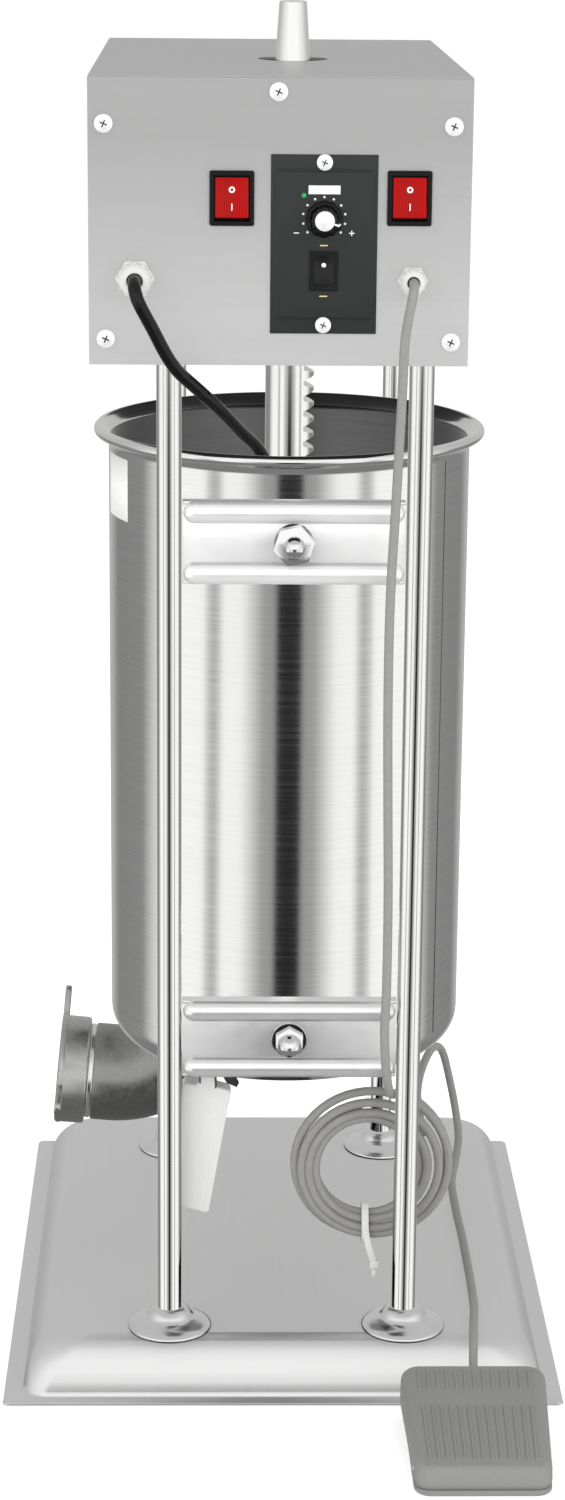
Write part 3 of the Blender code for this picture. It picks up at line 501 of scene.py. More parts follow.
def build_crossbars():
    for side, word in ((-1, "front"), (1, "rear")):
        for level in ("upper", "lower"):
            node = "crossbar_%s_%s" % (word, level)
            low, high = box_mm(node)
            centre = middle(node)
            plane = side * CROSSBAR_PLANE
            bm = bmesh.new()
            face = plane + side * 1.4
            back = plane - side * 1.6
            add_box(bm, (low.x, min(face, back), low.z + 2.0), (high.x, max(face, back), high.z - 2.0),
                    0.5, 2)
            rim = plane - side * 6.9
            for edge in (low.z + 0.1, high.z - 2.4):
                add_box(bm, (low.x, min(plane + side, rim), edge),
                        (high.x, max(plane + side, rim), edge + 2.3), 0.9, 3)
            for bead_z in (centre.z + 18.0, centre.z - 18.0):
                rod = capsule(6.5, high.x - low.x - 1.2, 8)
                squash = Matrix.Diagonal((1.0, 0.92, 1.0, 1.0))
                revolve(bm, rod, at((centre.x, plane + side * 0.6, bead_z)) @ squash @ ALONG_X, 40)
            # The upper bars take the whiter copy of the satin steel, a painted light; the lower bars take the
            # plain copy.
            piece("pressed_" + node, bm, PAINTED_LIGHT_SATIN if level == "upper" else PLAIN, (node,), smooth=40)


def hex_nut(bm, across_corners, thickness, matrix):
    """A hexagon with both faces turned down to a chamfer at the corners."""
    flat = across_corners * cos(radians(30))
    rings = []
    for radius, height in ((flat * 0.97, -thickness / 2), (across_corners, -thickness / 2 + 0.7),
                           (across_corners, thickness / 2 - 0.9), (flat * 0.95, thickness / 2)):
        rings.append([matrix @ Vector((x, y, height)) for x, y in polygon(6, radius)])
    loft(bm, rings)


def build_bolts():
    for side, word, turn in ((-1, "front", FRONT), (1, "rear", REAR)):
        for level in ("lock", "pivot"):
            node = "barrel_%s_bolt_%s" % (level, word)
            centre = middle(node)
            seat = 1.8
            place = at((centre.x, side * CROSSBAR_PLANE, centre.z), turn)
            bm = bmesh.new()
            if level == "lock":
                revolve(bm, [(0, seat + 2.0), (11.2, seat + 2.0), (11.6, seat + 1.4), (11.6, seat),
                             (0, seat)], place, 48)
                hex_nut(bm, 12.3, 8.0, place @ at((0, 0, seat + 5.8), spin(12, "Z")))
                stub = [(0, seat + 19)] + [(6.2 * sin(a), seat + 13.4 + 5.6 * cos(a))
                                           for a in (0.3, 0.6, 0.9, 1.2, 1.45)]
                stub += [(6.2, seat + 12.6), (5.5, seat + 12.2), (5.5, seat + 11.4), (6.2, seat + 11.0),
                         (6.2, seat + 6), (0, seat + 6)]
                revolve(bm, stub, place, 48)
            else:
                revolve(bm, [(0, seat + 1.6), (10.4, seat + 1.6), (10.8, seat + 1.1), (10.8, seat),
                             (0, seat)], place, 48)
                hex_nut(bm, 9.4, 6.4, place @ at((0, 0, seat + 4.9), spin(30, "Z")))
                acorn = [(0, seat + 18)] + [(7.0 * sin(a), seat + 11.0 + 7.0 * cos(a))
                                            for a in (0.25, 0.5, 0.75, 1.0, 1.25, 1.5)]
                acorn += [(7.0, seat + 10.2), (6.4, seat + 8.4), (0, seat + 8.4)]
                revolve(bm, acorn, place, 48)
            revolve(bm, [(0, seat), (4.9, seat), (4.9, -25), (0, -25)], place, 24)
            piece("bolt_set_%s_%s" % (level, word), bm, POLISHED, (node,), smooth=38)


# Housing ---------------------------------------------------
def cross_screw(name, node, radius, height):
    """Pan-head screw with a cross recess, facing -Y."""
    centre = middle(node)
    face = box_mm(node)[0].y + height
    head = [(0, height)]
    head += [(radius * sin(a), height * (0.66 + 0.34 * cos(a))) for a in (0.25, 0.5, 0.75, 1.0, 1.2, 1.4)]
    head += [(radius, 0.5), (radius, 0.0), (0, 0.0)]
    bm = bmesh.new()
    revolve(bm, head, at((centre.x, face, centre.z), FRONT), 40)
    screw = piece(name, bm, CAP, (node,), smooth=40)
    # The recess walls take the dark seam material: painted shade in the cross recess.
    for angle in (22, 112):
        cutter = bmesh.new()
        add_box(cutter, (-radius * 0.42, -height - 1, -radius * 0.08),
                (radius * 0.42, -height * 0.55, radius * 0.08),
                matrix=at((centre.x, face, centre.z), spin(angle, "Y")))
        cut_with(screw, cutter, 40, DARK_SEAM_AND_PAINTED_SHADE)


def build_housing():
    # The housing sheet carries a painted shade that darkens it towards its top.
    paint(SHEET, "housing_shell", "front_plate")
    paint(DARK_STEEL, "housing_floor", "gear_motor", "pinion")
    paint(CAST, "rack_guide", "bearing_block")
    for node in [name for name in NODES if name.startswith("face_screw")]:
        cross_screw("pan_head_" + node[len("face_screw_"):], node, 5.2, 2.9)
    for node in ("panel_screw_top", "panel_screw_bottom"):
        cross_screw("pan_head_" + node, node, 4.5, 2.5)


# Controls --------------------------------------------------
def build_controller():
    low, high = box_mm("speed_controller")
    front = low.y
    middle_x = (low.x + high.x) / 2
    plate_back = box_mm("front_plate")[0].y - 0.2
    pocket = middle("run_rocker")
    half_w, half_h = 8.2, 11.2
    bm = bmesh.new()
    add_box(bm, (low.x, front + 0.9, low.z), (high.x, plate_back, high.z), 0.35, 2)
    body = piece("controller_plate", bm, PANEL, ("speed_controller",))
    bm = bmesh.new()
    add_box(bm, (low.x + 5, plate_back - 1, low.z + 5), (high.x - 5, high.y, high.z - 5), 1.0, 2)
    piece("controller_case", bm, PANEL)
    bm = bmesh.new()
    add_box(bm, (low.x + 2.2, front, low.z + 8.9), (high.x - 2.2, front + 1.4, high.z - 9.5), 0.6, 3)
    add_box(bm, (low.x + 2.6, front + 0.25, high.z - 8.6), (high.x - 2.6, front + 1.2, high.z - 7.9), 0.25, 2)
    add_box(bm, (low.x + 2.6, front + 0.35, low.z + 7.4), (high.x - 2.6, front + 1.2, low.z + 8.0), 0.25, 2)
    field = piece("controller_field", bm, PANEL)
    for target in (body, field):
        hole = bmesh.new()
        add_box(hole, (pocket.x - half_w, front - 5, RUN_Z - half_h),
                (pocket.x + half_w, front + 20, RUN_Z + half_h))
        cut_with(target, hole)

    bm = bmesh.new()
    outer = [(-8.15, -11.15), (8.15, -11.15), (8.15, 11.15), (-8.15, 11.15)]
    add_prism(bm, outer, 10.6, at((middle_x, front + 4.2, RUN_Z), FRONT), 0.0)
    bezel = piece("run_switch_bezel", bm, BLACK)
    hole = bmesh.new()
    add_box(hole, (middle_x - 6.1, front - 5, RUN_Z - 9.5), (middle_x + 6.1, front + 8, RUN_Z + 9.5), 0.0)
    cut_with(bezel, hole)
    rim = bezel.modifiers.new("Bevel", "BEVEL")
    rim.width = 0.35 * MM
    rim.segments = 2
    rim.limit_method = "ANGLE"

    knob_centre = middle("speed_knob")
    bm = bmesh.new()
    for tick in range(11):
        angle = radians(-129 + 25.8 * tick)
        spot = (middle_x + 12.0 * sin(angle), front, KNOB_Z + 12.0 * cos(angle))
        revolve(bm, [(0, 0.12), (0.5, 0.10), (0.66, 0.0), (0.66, -0.1), (0, -0.1)], at(spot, FRONT), 20)
    for mark_x, upright in ((middle_x - 15.5, False), (middle_x + 15.5, True)):
        mark_z = KNOB_Z - 8.0
        add_box(bm, (mark_x - 1.5, front - 0.12, mark_z - 0.3), (mark_x + 1.5, front + 0.1, mark_z + 0.3),
                0.05, 1)
        if upright:
            add_box(bm, (mark_x - 0.3, front - 0.11, mark_z - 1.5), (mark_x + 0.3, front + 0.1, mark_z + 1.5),
                    0.05, 1)
    piece("dial_scale", bm, MARK)
    bm = bmesh.new()
    add_box(bm, (middle_x - 8.9, front - 0.16, KNOB_Z + 13.6), (middle_x + 8.9, front + 0.1, KNOB_Z + 18.4),
            0.06, 1)
    piece("blank_type_label", bm, LABEL)
    bm = bmesh.new()
    dome = [(0, 1.1), (0.7, 1.0), (1.2, 0.7), (1.5, 0.0), (1.5, -0.5), (0, -0.5)]
    revolve(bm, dome, at((middle_x - 11.4, front, KNOB_Z + 12.8), FRONT), 24)
    piece("power_lamp", bm, LAMP)
    bm = bmesh.new()
    for z in (RUN_Z + 14.2, RUN_Z - 14.2):
        add_box(bm, (middle_x - 2.2, front - 0.1, z - 0.35), (middle_x + 2.2, front + 0.1, z + 0.35), 0.04, 1)
    piece("run_stop_marks", bm, GILT)
    build_knob(knob_centre.x, front)


def build_knob(x, front):
    """Scalloped skirt, fluted grip, bright cap and a white pointer at the rest angle."""
    angles = [2 * pi * i / 96 for i in range(96)]
    skirt = [(angle, 0.28 * cos(12 * angle)) for angle in angles]
    levels = [(3.0, 0.5, 0), (9.6, 0.5, 1), (10.1, 1.0, 1), (10.1, 3.0, 1), (9.5, 4.0, 1), (8.3, 4.8, 1),
              (8.0, 6.0, 1.2), (7.6, 11.5, 1.2), (7.0, 12.5, 1), (6.0, 12.9, 0), (0.01, 12.9, 0)]
    place = at((x, front, KNOB_Z), FRONT)
    bm = bmesh.new()
    rings = [[place @ Vector(((r + w * k) * cos(a), (r + w * k) * sin(a), h)) for a, w in skirt]
             for r, h, k in levels]
    loft(bm, rings)
    revolve(bm, [(3.0, 0.6), (3.0, -8.5), (0, -8.5)], place, 24)
    piece("knob_grip", bm, BLACK, ("speed_knob",), 40, "speed_knob")
    cap = [(0, 14.2), (4.6, 14.1), (5.3, 13.8), (5.6, 13.2), (5.6, 12.4), (0, 12.4)]
    turned("knob_cap", cap, CAP, (x, front, KNOB_Z), FRONT, body="speed_knob")
    bm = bmesh.new()
    turn = Matrix.Rotation(KNOB_REST, 4, "Y")
    add_box(bm, (-0.5, -13.5, 4.8), (0.5, -12.5, 8.6), 0.2, 2, at((x, front, KNOB_Z), turn))
    add_box(bm, (-0.5, -4.6, 7.6), (0.5, -3.2, 9.7), 0.2, 2, at((x, front, KNOB_Z), turn))
    piece("knob_pointer", bm, MARK, body="speed_knob")


def build_rocker(node, name, face, z, half_w, half_h, proud, mat, marks):
    """Rocker with a hollowed front, tipped so that its upper half is pressed in; marks sit on its face."""
    x = middle(node).x
    pivot = 1.6
    deep = 1.5
    count = 12
    front = [(pivot + proud - deep * (1 - (2 * i / count - 1) ** 2), half_h * (1 - 2 * i / count))
             for i in range(count + 1)]
    profile = front + [(-2.2, -half_h), (-4.8, -half_h * 0.4), (-4.8, half_h * 0.4), (-2.2, half_h)]
    tip = Matrix.Rotation(ROCKER_REST, 4, "X")
    place = at((x, face + pivot, z), tip)
    sideways = Matrix(((0, 0, 1, 0), (-1, 0, 0, 0), (0, 1, 0, 0), (0, 0, 0, 1)))
    bm = bmesh.new()
    add_prism(bm, profile, 2 * half_w, place @ sideways, 0.35, 2)
    piece(name, bm, mat, (node,), 36, node)
    bm = bmesh.new()
    for kind, up in marks:
        out = pivot + proud - deep * (1 - (up / half_h) ** 2)
        tilt = atan2(2 * deep * up / half_h ** 2, 1.0)
        spot = place @ at((0, -out, up), Matrix.Rotation(tilt, 4, "X") @ FRONT)
        if kind == "ring":
            ring = [(1.75, 0.0), (1.75, 0.14), (1.55, 0.2), (1.05, 0.2), (0.85, 0.14), (0.85, 0.0)]
            revolve(bm, ring, spot, 32, closed=True)
        elif kind == "dot":
            revolve(bm, [(0, 0.2), (1.0, 0.16), (1.3, 0.0), (0, 0.0)], spot, 24)
        else:
            add_box(bm, (-0.32, -2.0, -0.1), (0.32, 2.0, 0.2), 0.1, 2, spot)
    piece(name + "_marks", bm, MARK, smooth=40, body=node)


def build_rockers():
    paint(WELL, "left_switch_frame", "right_switch_frame")
    for side in ("left", "right"):
        frame_name = side + "_switch_frame"
        build_rocker(side + "_red_rocker", side + "_red_lens", box_mm(frame_name)[0].y, middle(frame_name).z,
                     9.3, 11.0, 3.4, RED, (("ring", 4.4), ("bar", -5.2)))
    build_rocker("run_rocker", "run_stop_rocker", box_mm("speed_controller")[0].y, RUN_Z,
                 5.8, 8.3, 4.0, BLACK, (("dot", 2.8),))


def build_glands():
    for name, word, size, cord_r in (("mains_gland", "mains", 1.0, MAINS_R),
                                     ("pedal_gland", "pedal", 0.78, PEDAL_CORD_R)):
        high = box_mm(name)[1]
        centre = middle(name)
        face = box_mm("front_plate")[0].y
        z = centre.z
        place = at((centre.x, face, z), FRONT)
        bm = bmesh.new()
        hex_nut(bm, 11.0 * size, 5.6 * size, place @ at((0, 0, 0.4 + 2.8 * size)))
        hole = cord_r + 0.9
        dome = [(hole, 16.4 * size), (5.8 * size, 16.4 * size), (7.4 * size, 15.4 * size),
                (8.6 * size, 13.2 * size), (9.2 * size, 10.4 * size), (9.3 * size, 6.4 * size),
                (9.3 * size, 5.8 * size), (hole, 5.8 * size)]
        revolve(bm, dome, place, 48, closed=True)
        for i in range(12):
            turn = spin(30 * i, "Z")
            add_box(bm, (8.9 * size, -0.8 * size, 6.2 * size), (9.9 * size, 0.8 * size, 11.4 * size),
                    0.3 * size, 2, place @ turn)
        stem = 7.9 * size
        inner_end = face - high.y
        revolve(bm, [(0, 0.3), (stem, 0.3), (stem, inner_end), (0, inner_end)], place, 32)
        piece(word + "_gland_nut", bm, WHITE, (name,), smooth=40)
        seal = [(cord_r + 0.1, 14.6 * size), (hole, 14.6 * size), (hole, 7 * size), (cord_r + 0.1, 7 * size)]
        turned(word + "_gland_seal", seal, BLACK, (centre.x, face, z), FRONT, 32, True)


# Barrel, spout and piston ----------------------------------
def barrel_profile(bottom, rim):
    inner = BARREL_R - BARREL_WALL
    corner = BARREL_CORNER
    inside = arc(inner - corner + BARREL_WALL, bottom + corner, corner - BARREL_WALL - 0.4, -90, 0, 10)
    inside = [(min(x, inner), z) for x, z in inside]
    bead = arc(RIM_R, rim, RIM_WIRE, 150, -120, 16)
    outside = arc(BARREL_R - corner, bottom + corner, corner, 0, -90, 12)
    inner_side = [(0, bottom + 1.9)] + inside + [(inner, rim - 7), (inner + 0.7, rim - 4),
                                                 (inner + 2.2, rim - 1.5)]
    outer_side = bead + [(BARREL_R + 2.6, rim - 4.4), (BARREL_R + 1.0, rim - 6), (BARREL_R, rim - 9)]
    return inner_side, outer_side + outside + [(0, bottom)]


def wall_patch(bm, radius, start, end, low, high, count):
    """A thin patch that follows the barrel's wall; angles are degrees from -Y towards +X."""
    rings = []
    for z in (low, high):
        ring = []
        for i in range(count + 1):
            angle = radians(start + (end - start) * i / count)
            ring.append(bm.verts.new((radius * sin(angle), -radius * cos(angle), z)))
        rings.append(ring)
    for i in range(count):
        bm.faces.new((rings[0][i], rings[0][i + 1], rings[1][i + 1], rings[1][i]))


def build_barrel():
    low, high = box_mm("barrel")
    rim = high.z - RIM_WIRE
    inner_side, outer_side = barrel_profile(low.z, rim)
    bm = bmesh.new()
    revolve(bm, inner_side + outer_side, steps=128)
    # The inner side's faces take the dark copy of the barrel steel: painted shade inside the barrel.
    for face in bm.faces:
        centre = face.calc_center_median()
        if hypot(centre.x, centre.y) < BARREL_R - 0.9 and centre.z > low.z + 1.2:
            near_wall = hypot(centre.x, centre.y) > BARREL_R - BARREL_CORNER
            if not near_wall or centre.z > low.z + BARREL_CORNER or is_inside(centre, low.z):
                face.material_index = 1
    barrel = piece("barrel_shell", bm, BRUSHED, ("barrel",), smooth=40, extra=(PAINTED_INSIDE_SHADE,))
    hole = bmesh.new()
    revolve(hole, [(0, low.z + 12), (23.5, low.z + 12), (23.5, low.z - 12), (0, low.z - 12)], at((-57, 0, 0)),
            48)
    cut_with(barrel, hole, 40)
    bm = bmesh.new()
    wall_patch(bm, BARREL_R + 0.12, 56.0, 56.35, low.z + BARREL_CORNER, rim - 9, 1)
    seam = piece("barrel_seam", bm, DARK_SEAM_AND_PAINTED_SHADE)
    thicken(seam, 0.2)
    bm = bmesh.new()
    wall_patch(bm, BARREL_R + 0.25, -80.0, -62.0, 525.0, 563.0, 10)
    label = piece("blank_barrel_label", bm, LABEL)
    thicken(label, 0.15)


def is_inside(point, bottom):
    """True for a point on the inner side of the barrel's rounded corner."""
    centre_r = BARREL_R - BARREL_CORNER
    away = hypot(hypot(point.x, point.y) - centre_r, point.z - (bottom + BARREL_CORNER))
    return away < BARREL_CORNER - 1.0


def thicken(obj, width):
    """Gives an open sheet its thickness, inwards."""
    shell = obj.modifiers.new("Solidify", "SOLIDIFY")
    shell.thickness = width * MM
    shell.offset = -1.0


def spout_line():
    """The elbow's centreline, from the barrel's floor to the mouth, and the mouth's height."""
    bend_x, bend_z, bend = -108.0, 202.5, 54.0
    points = arc(bend_x, bend_z, bend, 0, -90 - degrees(SPOUT_TILT), 24)
    end_x, end_z = points[-1]
    slope = tan(SPOUT_TILT)
    return points, lambda x: end_z + (end_x - x) * slope


def build_spout():
    points, height_at = spout_line()
    bottom = box_mm("barrel")[0].z
    stations = [(x, z, 31.4) for x, z in points if z < bottom + 6]
    stations += [(x, height_at(x), r) for x, r in
                 ((-114.0, 31.4), (-122.6, 31.4), (-123.7, 31.0), (-124.1, 29.6), (-126.6, 29.4),
                  (-127.0, 30.4), (-131.0, 30.4), (-142.8, 30.4), (-143.4, 29.8))]
    rings = []
    inner_rings = []
    for i, (x, z, radius) in enumerate(stations):
        before, after = stations[max(0, i - 1)], stations[min(len(stations) - 1, i + 1)]
        along = Vector((after[0] - before[0], 0, after[1] - before[1])).normalized()
        across = Vector((0, 1, 0))
        up = along.cross(across)
        for store, size in ((rings, radius), (inner_rings, 25.4)):
            store.append([Vector((x, 0, z)) + across * size * cos(a) + up * size * sin(a)
                          for a in (2 * pi * k / 64 for k in range(64))])
    bm = bmesh.new()
    loft(bm, rings + inner_rings[::-1], closed=True)
    elbow = piece("cast_elbow", bm, CAST, ("spout_elbow",), smooth=40)
    trim = bmesh.new()
    add_box(trim, (-130, -60, bottom - 0.05), (20, 60, bottom + 60))
    cut_with(elbow, trim, 40)
    turn = Matrix.Rotation(radians(-90) + SPOUT_TILT, 4, "Y")
    runout = [(29.3, 1.5), (30.3, 1.5), (30.6, 1.1), (30.6, -0.9), (30.3, -1.3), (29.3, -1.3)]
    turned("thread_runout", runout, MACHINED, (-125.6, 0, height_at(-125.6)), turn, closed=True)

    centre = Vector((-137.0, 0, height_at(-137.0)))
    place = at(centre, turn)
    nut = [(25.6, 9.8), (33.6, 9.8), (34.6, 9.2), (35.2, 8.0), (35.3, 6.6), (34.7, 5.8), (34.6, -7.6),
           (34.0, -9.0), (33.0, -9.4), (31.3, -9.4), (31.3, 7.0), (25.6, 7.0)]
    bm = bmesh.new()
    revolve(bm, nut, place, 96, True)
    along = Vector((-cos(SPOUT_TILT), 0, sin(SPOUT_TILT)))
    for angle in (51, 171, 291):
        out = Matrix.Rotation(radians(angle), 4, along) @ Vector((0, 1, 0))
        side = along.cross(out)
        basis = Matrix((out, side, along)).transposed().to_4x4()
        shape = [(-12.5, -8.6), (-9.5, -7.4), (-4, -6.2), (6.5, -5.0), (9.0, -4.0), (10.3, -2.0), (10.5, 0),
                 (10.3, 2.0), (9.0, 4.0), (6.5, 5.0), (-4, 6.2), (-9.5, 7.4), (-12.5, 8.6)]
        add_prism(bm, shape, 4.0, at(centre + along * 7.6 + out * 43.5, basis), 0.9, 3)
    piece("ring_nut", bm, NUT, ("spout_nut",), 40, "spout_nut")


def build_piston():
    base = box_mm("piston")[0].z
    plate = base + 12
    piston = [(0, base + 8), (RACK_R + 0.3, base + 8), (RACK_R + 0.3, base + 38), (21, base + 38),
              (23.2, base + 37.2), (24, base + 35.5), (24, plate + 1.5), (25.5, plate), (80, plate),
              (84, plate + 0.8), (92, plate + 5), (96, base + 20), (98, base + 28), (99, base + 36.5),
              (99.8, base + 37.5), (107.8, base + 37.5), (108.4, base + 36.9), (108.4, base + 34.5),
              (104, base + 34.5), (104, base + 28), (108.4, base + 28), (108.4, base + 24.5),
              (106.8, base + 19.5), (103.4, base + 14), (98.5, base + 8.4), (92, base + 4),
              (85.5, base + 1.2), (78, base), (0, base)]
    turned("piston_dish", piston, BRUSHED, steps=96, replaces=("piston",), smooth=40, body="piston_rack")
    seal = [(104.3, base + 34.2), (108.4, base + 34.2), (109.1, base + 33.6), (109.4, base + 31.2),
            (109.1, base + 28.9), (108.4, base + 28.3), (104.3, base + 28.3)]
    turned("piston_ring_seal", seal, WHITE, steps=96, closed=True, replaces=("piston_seal",), smooth=50,
           body="piston_rack")
    valve_low, valve_high = box_mm("air_valve")
    centre = middle("air_valve")
    top = valve_high.z
    valve = [(0, top), (4.5, top - 0.1), (6.6, top - 0.7), (7.7, top - 1.8), (8, top - 3), (8, top - 7.4),
             (7.6, top - 7.8), (5.6, top - 8.4), (5.0, top - 8.6), (5.0, valve_low.z + 0.5),
             (4.5, valve_low.z), (0, valve_low.z)]
    turned("release_valve", valve, MACHINED, (centre.x, centre.y, 0), steps=40, replaces=("air_valve",),
           body="air_valve", slot="polished_steel")


def build_rack():
    """Round bar with a cone on top and a row of rounded tooth gaps down its +X side."""
    low, high = box_mm("rack")
    shoulder = 788.0
    top = high.z
    rod = [(0, top), (7.4, top), (8.0, top - 0.3), (8.3, top - 0.9), (11.1, shoulder + 0.5), (11.1, shoulder),
           (14.2, shoulder - 0.4), (RACK_R, shoulder - 1.4), (RACK_R, low.z), (0, low.z)]
    rack = turned("toothed_bar", rod, POST_STEEL, replaces=("rack",), body="piston_rack")
    module = 3.0
    pitch = pi * module
    start = middle("pinion").z - 43 * pitch
    slope = tan(radians(20))
    gap = [(8.25, -1.0), (8.25, 1.0), (8.6, 1.5), (9.2, 1.75), (17, 2.53 + 5.25 * slope),
           (17, -2.53 - 5.25 * slope), (9.2, -1.75), (8.6, -1.5)]
    cutter = bmesh.new()
    for tooth in range(46):
        add_prism(cutter, gap, 60, at((0, 0, start + tooth * pitch), FRONT))
    cut_with(rack, cutter, 34)


# Lever under the lower crossbar ----------------------------
def build_lever():
    low, high = box_mm("grip_lever")
    pin_x, pin_z = -49.5, 207.0
    front, back = low.y, high.y
    outer = [(-64.6, 191.0), (-63.0, 193.2), (-57, 192.2), (-54.5, 193.5), (-54.5, 212), (-44.5, 212),
             (-43.5, 190.5), (-36.5, 188.6), (-35.0, 186.8), (-48.1, 109.0), (-50.4, 107.6), (-66.8, 112.0),
             (-68.6, 114.4)]
    bm = bmesh.new()
    add_prism(bm, outer, back - front, at((0, (front + back) / 2, 0), FRONT), 1.3, 4)
    # The lug above 194 mm, where it goes up behind the crossbar, takes the dark seam material: painted shade.
    for face in bm.faces:
        if face.calc_center_median().z > 194.0:
            face.material_index = 1
    lever = piece("white_lever", bm, LEVER, ("grip_lever",), 40, "grip_lever", (DARK_SEAM_AND_PAINTED_SHADE,))
    hole = bmesh.new()
    centre = (pin_x, (front + back) / 2, pin_z)
    revolve(hole, [(0, 30), (3.1, 30), (3.1, -30), (0, -30)], at(centre, FRONT), 32)
    cut_with(lever, hole, 40)
    bm = bmesh.new()
    for shift in (2.6, 5.2):
        line = [(-36.3, 184.5), (-36.0, 184.0), (-48.4, 112.0), (-48.7, 112.0)]
        add_prism(bm, [(x - shift, z) for x, z in line], 0.3, at((0, front + 0.05, 0), FRONT))
    piece("lever_edge_lines", bm, WHITE, body="grip_lever")
    paint(DARK_STEEL, "lever_bracket")


# Foot pedal ------------------------------------------------
def pedal_ring(x, half_near, half_far, near, far, z_near, z_far, radius):
    """A tapered outline with rounded corners, near end at low y, in a plane tilted along y."""
    points = []
    for sx, y, half, start in ((1, far, half_far, 0), (-1, far, half_far, 90), (-1, near, half_near, 180),
                               (1, near, half_near, 270)):
        cx = sx * (half - radius)
        cy = y - copysign(radius, y - (near + far) / 2)
        for px, py in arc(cx, cy, radius, start, start + 90, 8):
            share = (py - near) / (far - near)
            points.append(Vector((x + px, py, z_near + (z_far - z_near) * share)))
    return points


def build_pedal():
    x = middle("pedal_pin").x
    levels = [(40.2, 43.5, -292.6, -193.0, 4.4, 11.5, 9), (40.4, 44.0, -292.7, -191.2, 8.0, 15.0, 9.5),
              (40.2, 44.0, -292.4, -190.4, 12.0, 24.0, 10), (39.8, 43.8, -291.8, -190.0, 15.2, 29.0, 10.5),
              (38.9, 43.2, -290.9, -190.5, 16.9, 31.4, 10.5), (37.6, 42.2, -289.6, -191.6, 17.9, 32.6, 10),
              (36.2, 41.0, -288.2, -193.0, 18.2, 33.0, 9.5)]
    bm = bmesh.new()
    loft(bm, [pedal_ring(x, *level) for level in levels], caps=(-1,))
    cover = piece("ribbed_cover", bm, GREY, ("pedal_cover",), 50, "pedal_cover")
    thicken(cover, 1.8)
    slope = atan2(COVER_FAR[1] - COVER_NEAR[1], COVER_FAR[0] - COVER_NEAR[0])
    bm = bmesh.new()
    for start, end, spread_near, spread_far in ((-283.6, -232.0, 31.0, 32.4), (-215.0, -197.0, 33.0, 33.4)):
        for i in range(13):
            share = -1 + 2 * i / 12
            near = Vector((x + share * spread_near, start, height_on_cover(start)))
            far = Vector((x + share * spread_far, end, height_on_cover(end)))
            middle_point = (near + far) / 2
            yaw = atan2(near.x - far.x, far.y - near.y)
            turn = Matrix.Rotation(yaw, 4, "Z") @ Matrix.Rotation(slope, 4, "X") @ REAR
            flat = at(middle_point, turn) @ Matrix.Diagonal((1.0, 1.25, 1.0, 1.0))
            revolve(bm, capsule(0.95, (far - near).length, 4), flat, 12)
            bead = at(near, Matrix.Rotation(slope, 4, "X"))
            revolve(bm, [(0, 0.85), (0.7, 0.7), (1.1, 0.3), (1.2, -0.2), (0, -0.2)], bead, 12)
    piece("cover_ribs", bm, GREY, smooth=60, body="pedal_cover")
    bm = bmesh.new()
    add_box(bm, (x - 33.0, -289.2, 17.75), (x + 33.0, -287.6, 18.35), 0.25, 2)
    piece("cover_front_lip", bm, GREY, body="pedal_cover")
    levels = [(39.5, 40.5, -292.5, -196.0, 0.0, 0.0, 9), (40.3, 41.2, -293.0, -195.2, 0.8, 0.8, 9.5),
              (40.3, 41.2, -293.0, -195.2, 3.0, 3.0, 9.5), (39.6, 40.6, -292.4, -195.9, 3.6, 3.6, 9)]
    bm = bmesh.new()
    loft(bm, [pedal_ring(x, *level) for level in levels])
    add_box(bm, (x - 33, -284, 2), (x + 33, -204, 10.4), 1.0, 2)
    for side in (-1, 1):
        add_box(bm, (x + side * 35 - 2, -283, 2), (x + side * 35 + 2, -273, 13.5), 0.6, 2)
    piece("pedal_plate", bm, GREY, ("pedal_base",), smooth=40)
    pin = middle("pedal_pin")
    half = (box_mm("pedal_pin")[1].x - box_mm("pedal_pin")[0].x) / 2
    rod = [(0, half), (1.6, half), (2.0, half - 0.4), (2.0, -half + 0.4), (1.6, -half), (0, -half)]
    turned("hinge_pin", rod, POLISHED, tuple(pin), ALONG_X, 24, replaces=("pedal_pin",))


def height_on_cover(y):
    share = (y - COVER_NEAR[0]) / (COVER_FAR[0] - COVER_NEAR[0])
    return COVER_NEAR[1] + (COVER_FAR[1] - COVER_NEAR[1]) * share


# Cords -----------------------------------------------------
def round_cord(name, path, radius, mat, replaces, body="frame"):
    """A round cord as a curve through points in millimetres."""
    data = bpy.data.curves.new(name, "CURVE")
    data.dimensions = "3D"
    data.bevel_depth = radius * MM
    data.bevel_resolution = 4
    data.use_fill_caps = True
    data.twist_mode = "MINIMUM"
    data.resolution_u = 2
    spline = data.splines.new("POLY")
    spline.points.add(len(path) - 1)
    for point, co in zip(spline.points, path):
        point.co = (*(Vector(co) * MM), 1)
    data.materials.append(mat)
    obj = bpy.data.objects.new(name, data)
    bpy.context.scene.collection.objects.link(obj)
    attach(obj, body)
    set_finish(obj, SLOTS[mat.name])
    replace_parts(obj, *replaces)
    return obj


def as_mesh(obj):
    """The same cord as a mesh."""
    bpy.context.view_layer.update()
    mesh = bpy.data.meshes.new_from_object(obj.evaluated_get(bpy.context.evaluated_depsgraph_get()))
    name, body, slot, replaced = obj.name, obj["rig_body"], obj["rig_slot"], list(obj["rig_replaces"])
    bpy.data.objects.remove(obj, do_unlink=True)
    bm = bmesh.new()
    bm.from_mesh(mesh)
    bmesh.ops.remove_doubles(bm, verts=bm.verts, dist=0.000005)
    bmesh.ops.recalc_face_normals(bm, faces=bm.faces)
    bm.to_mesh(mesh)
    bm.free()
    mesh.shade_smooth()
    made = bpy.data.objects.new(name + "_tube", mesh)
    bpy.context.scene.collection.objects.link(made)
    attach(made, body)
    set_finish(made, slot)
    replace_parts(made, *replaced)
    return made


def length_of(path):
    return sum((b - a).length for a, b in zip(path, path[1:]))


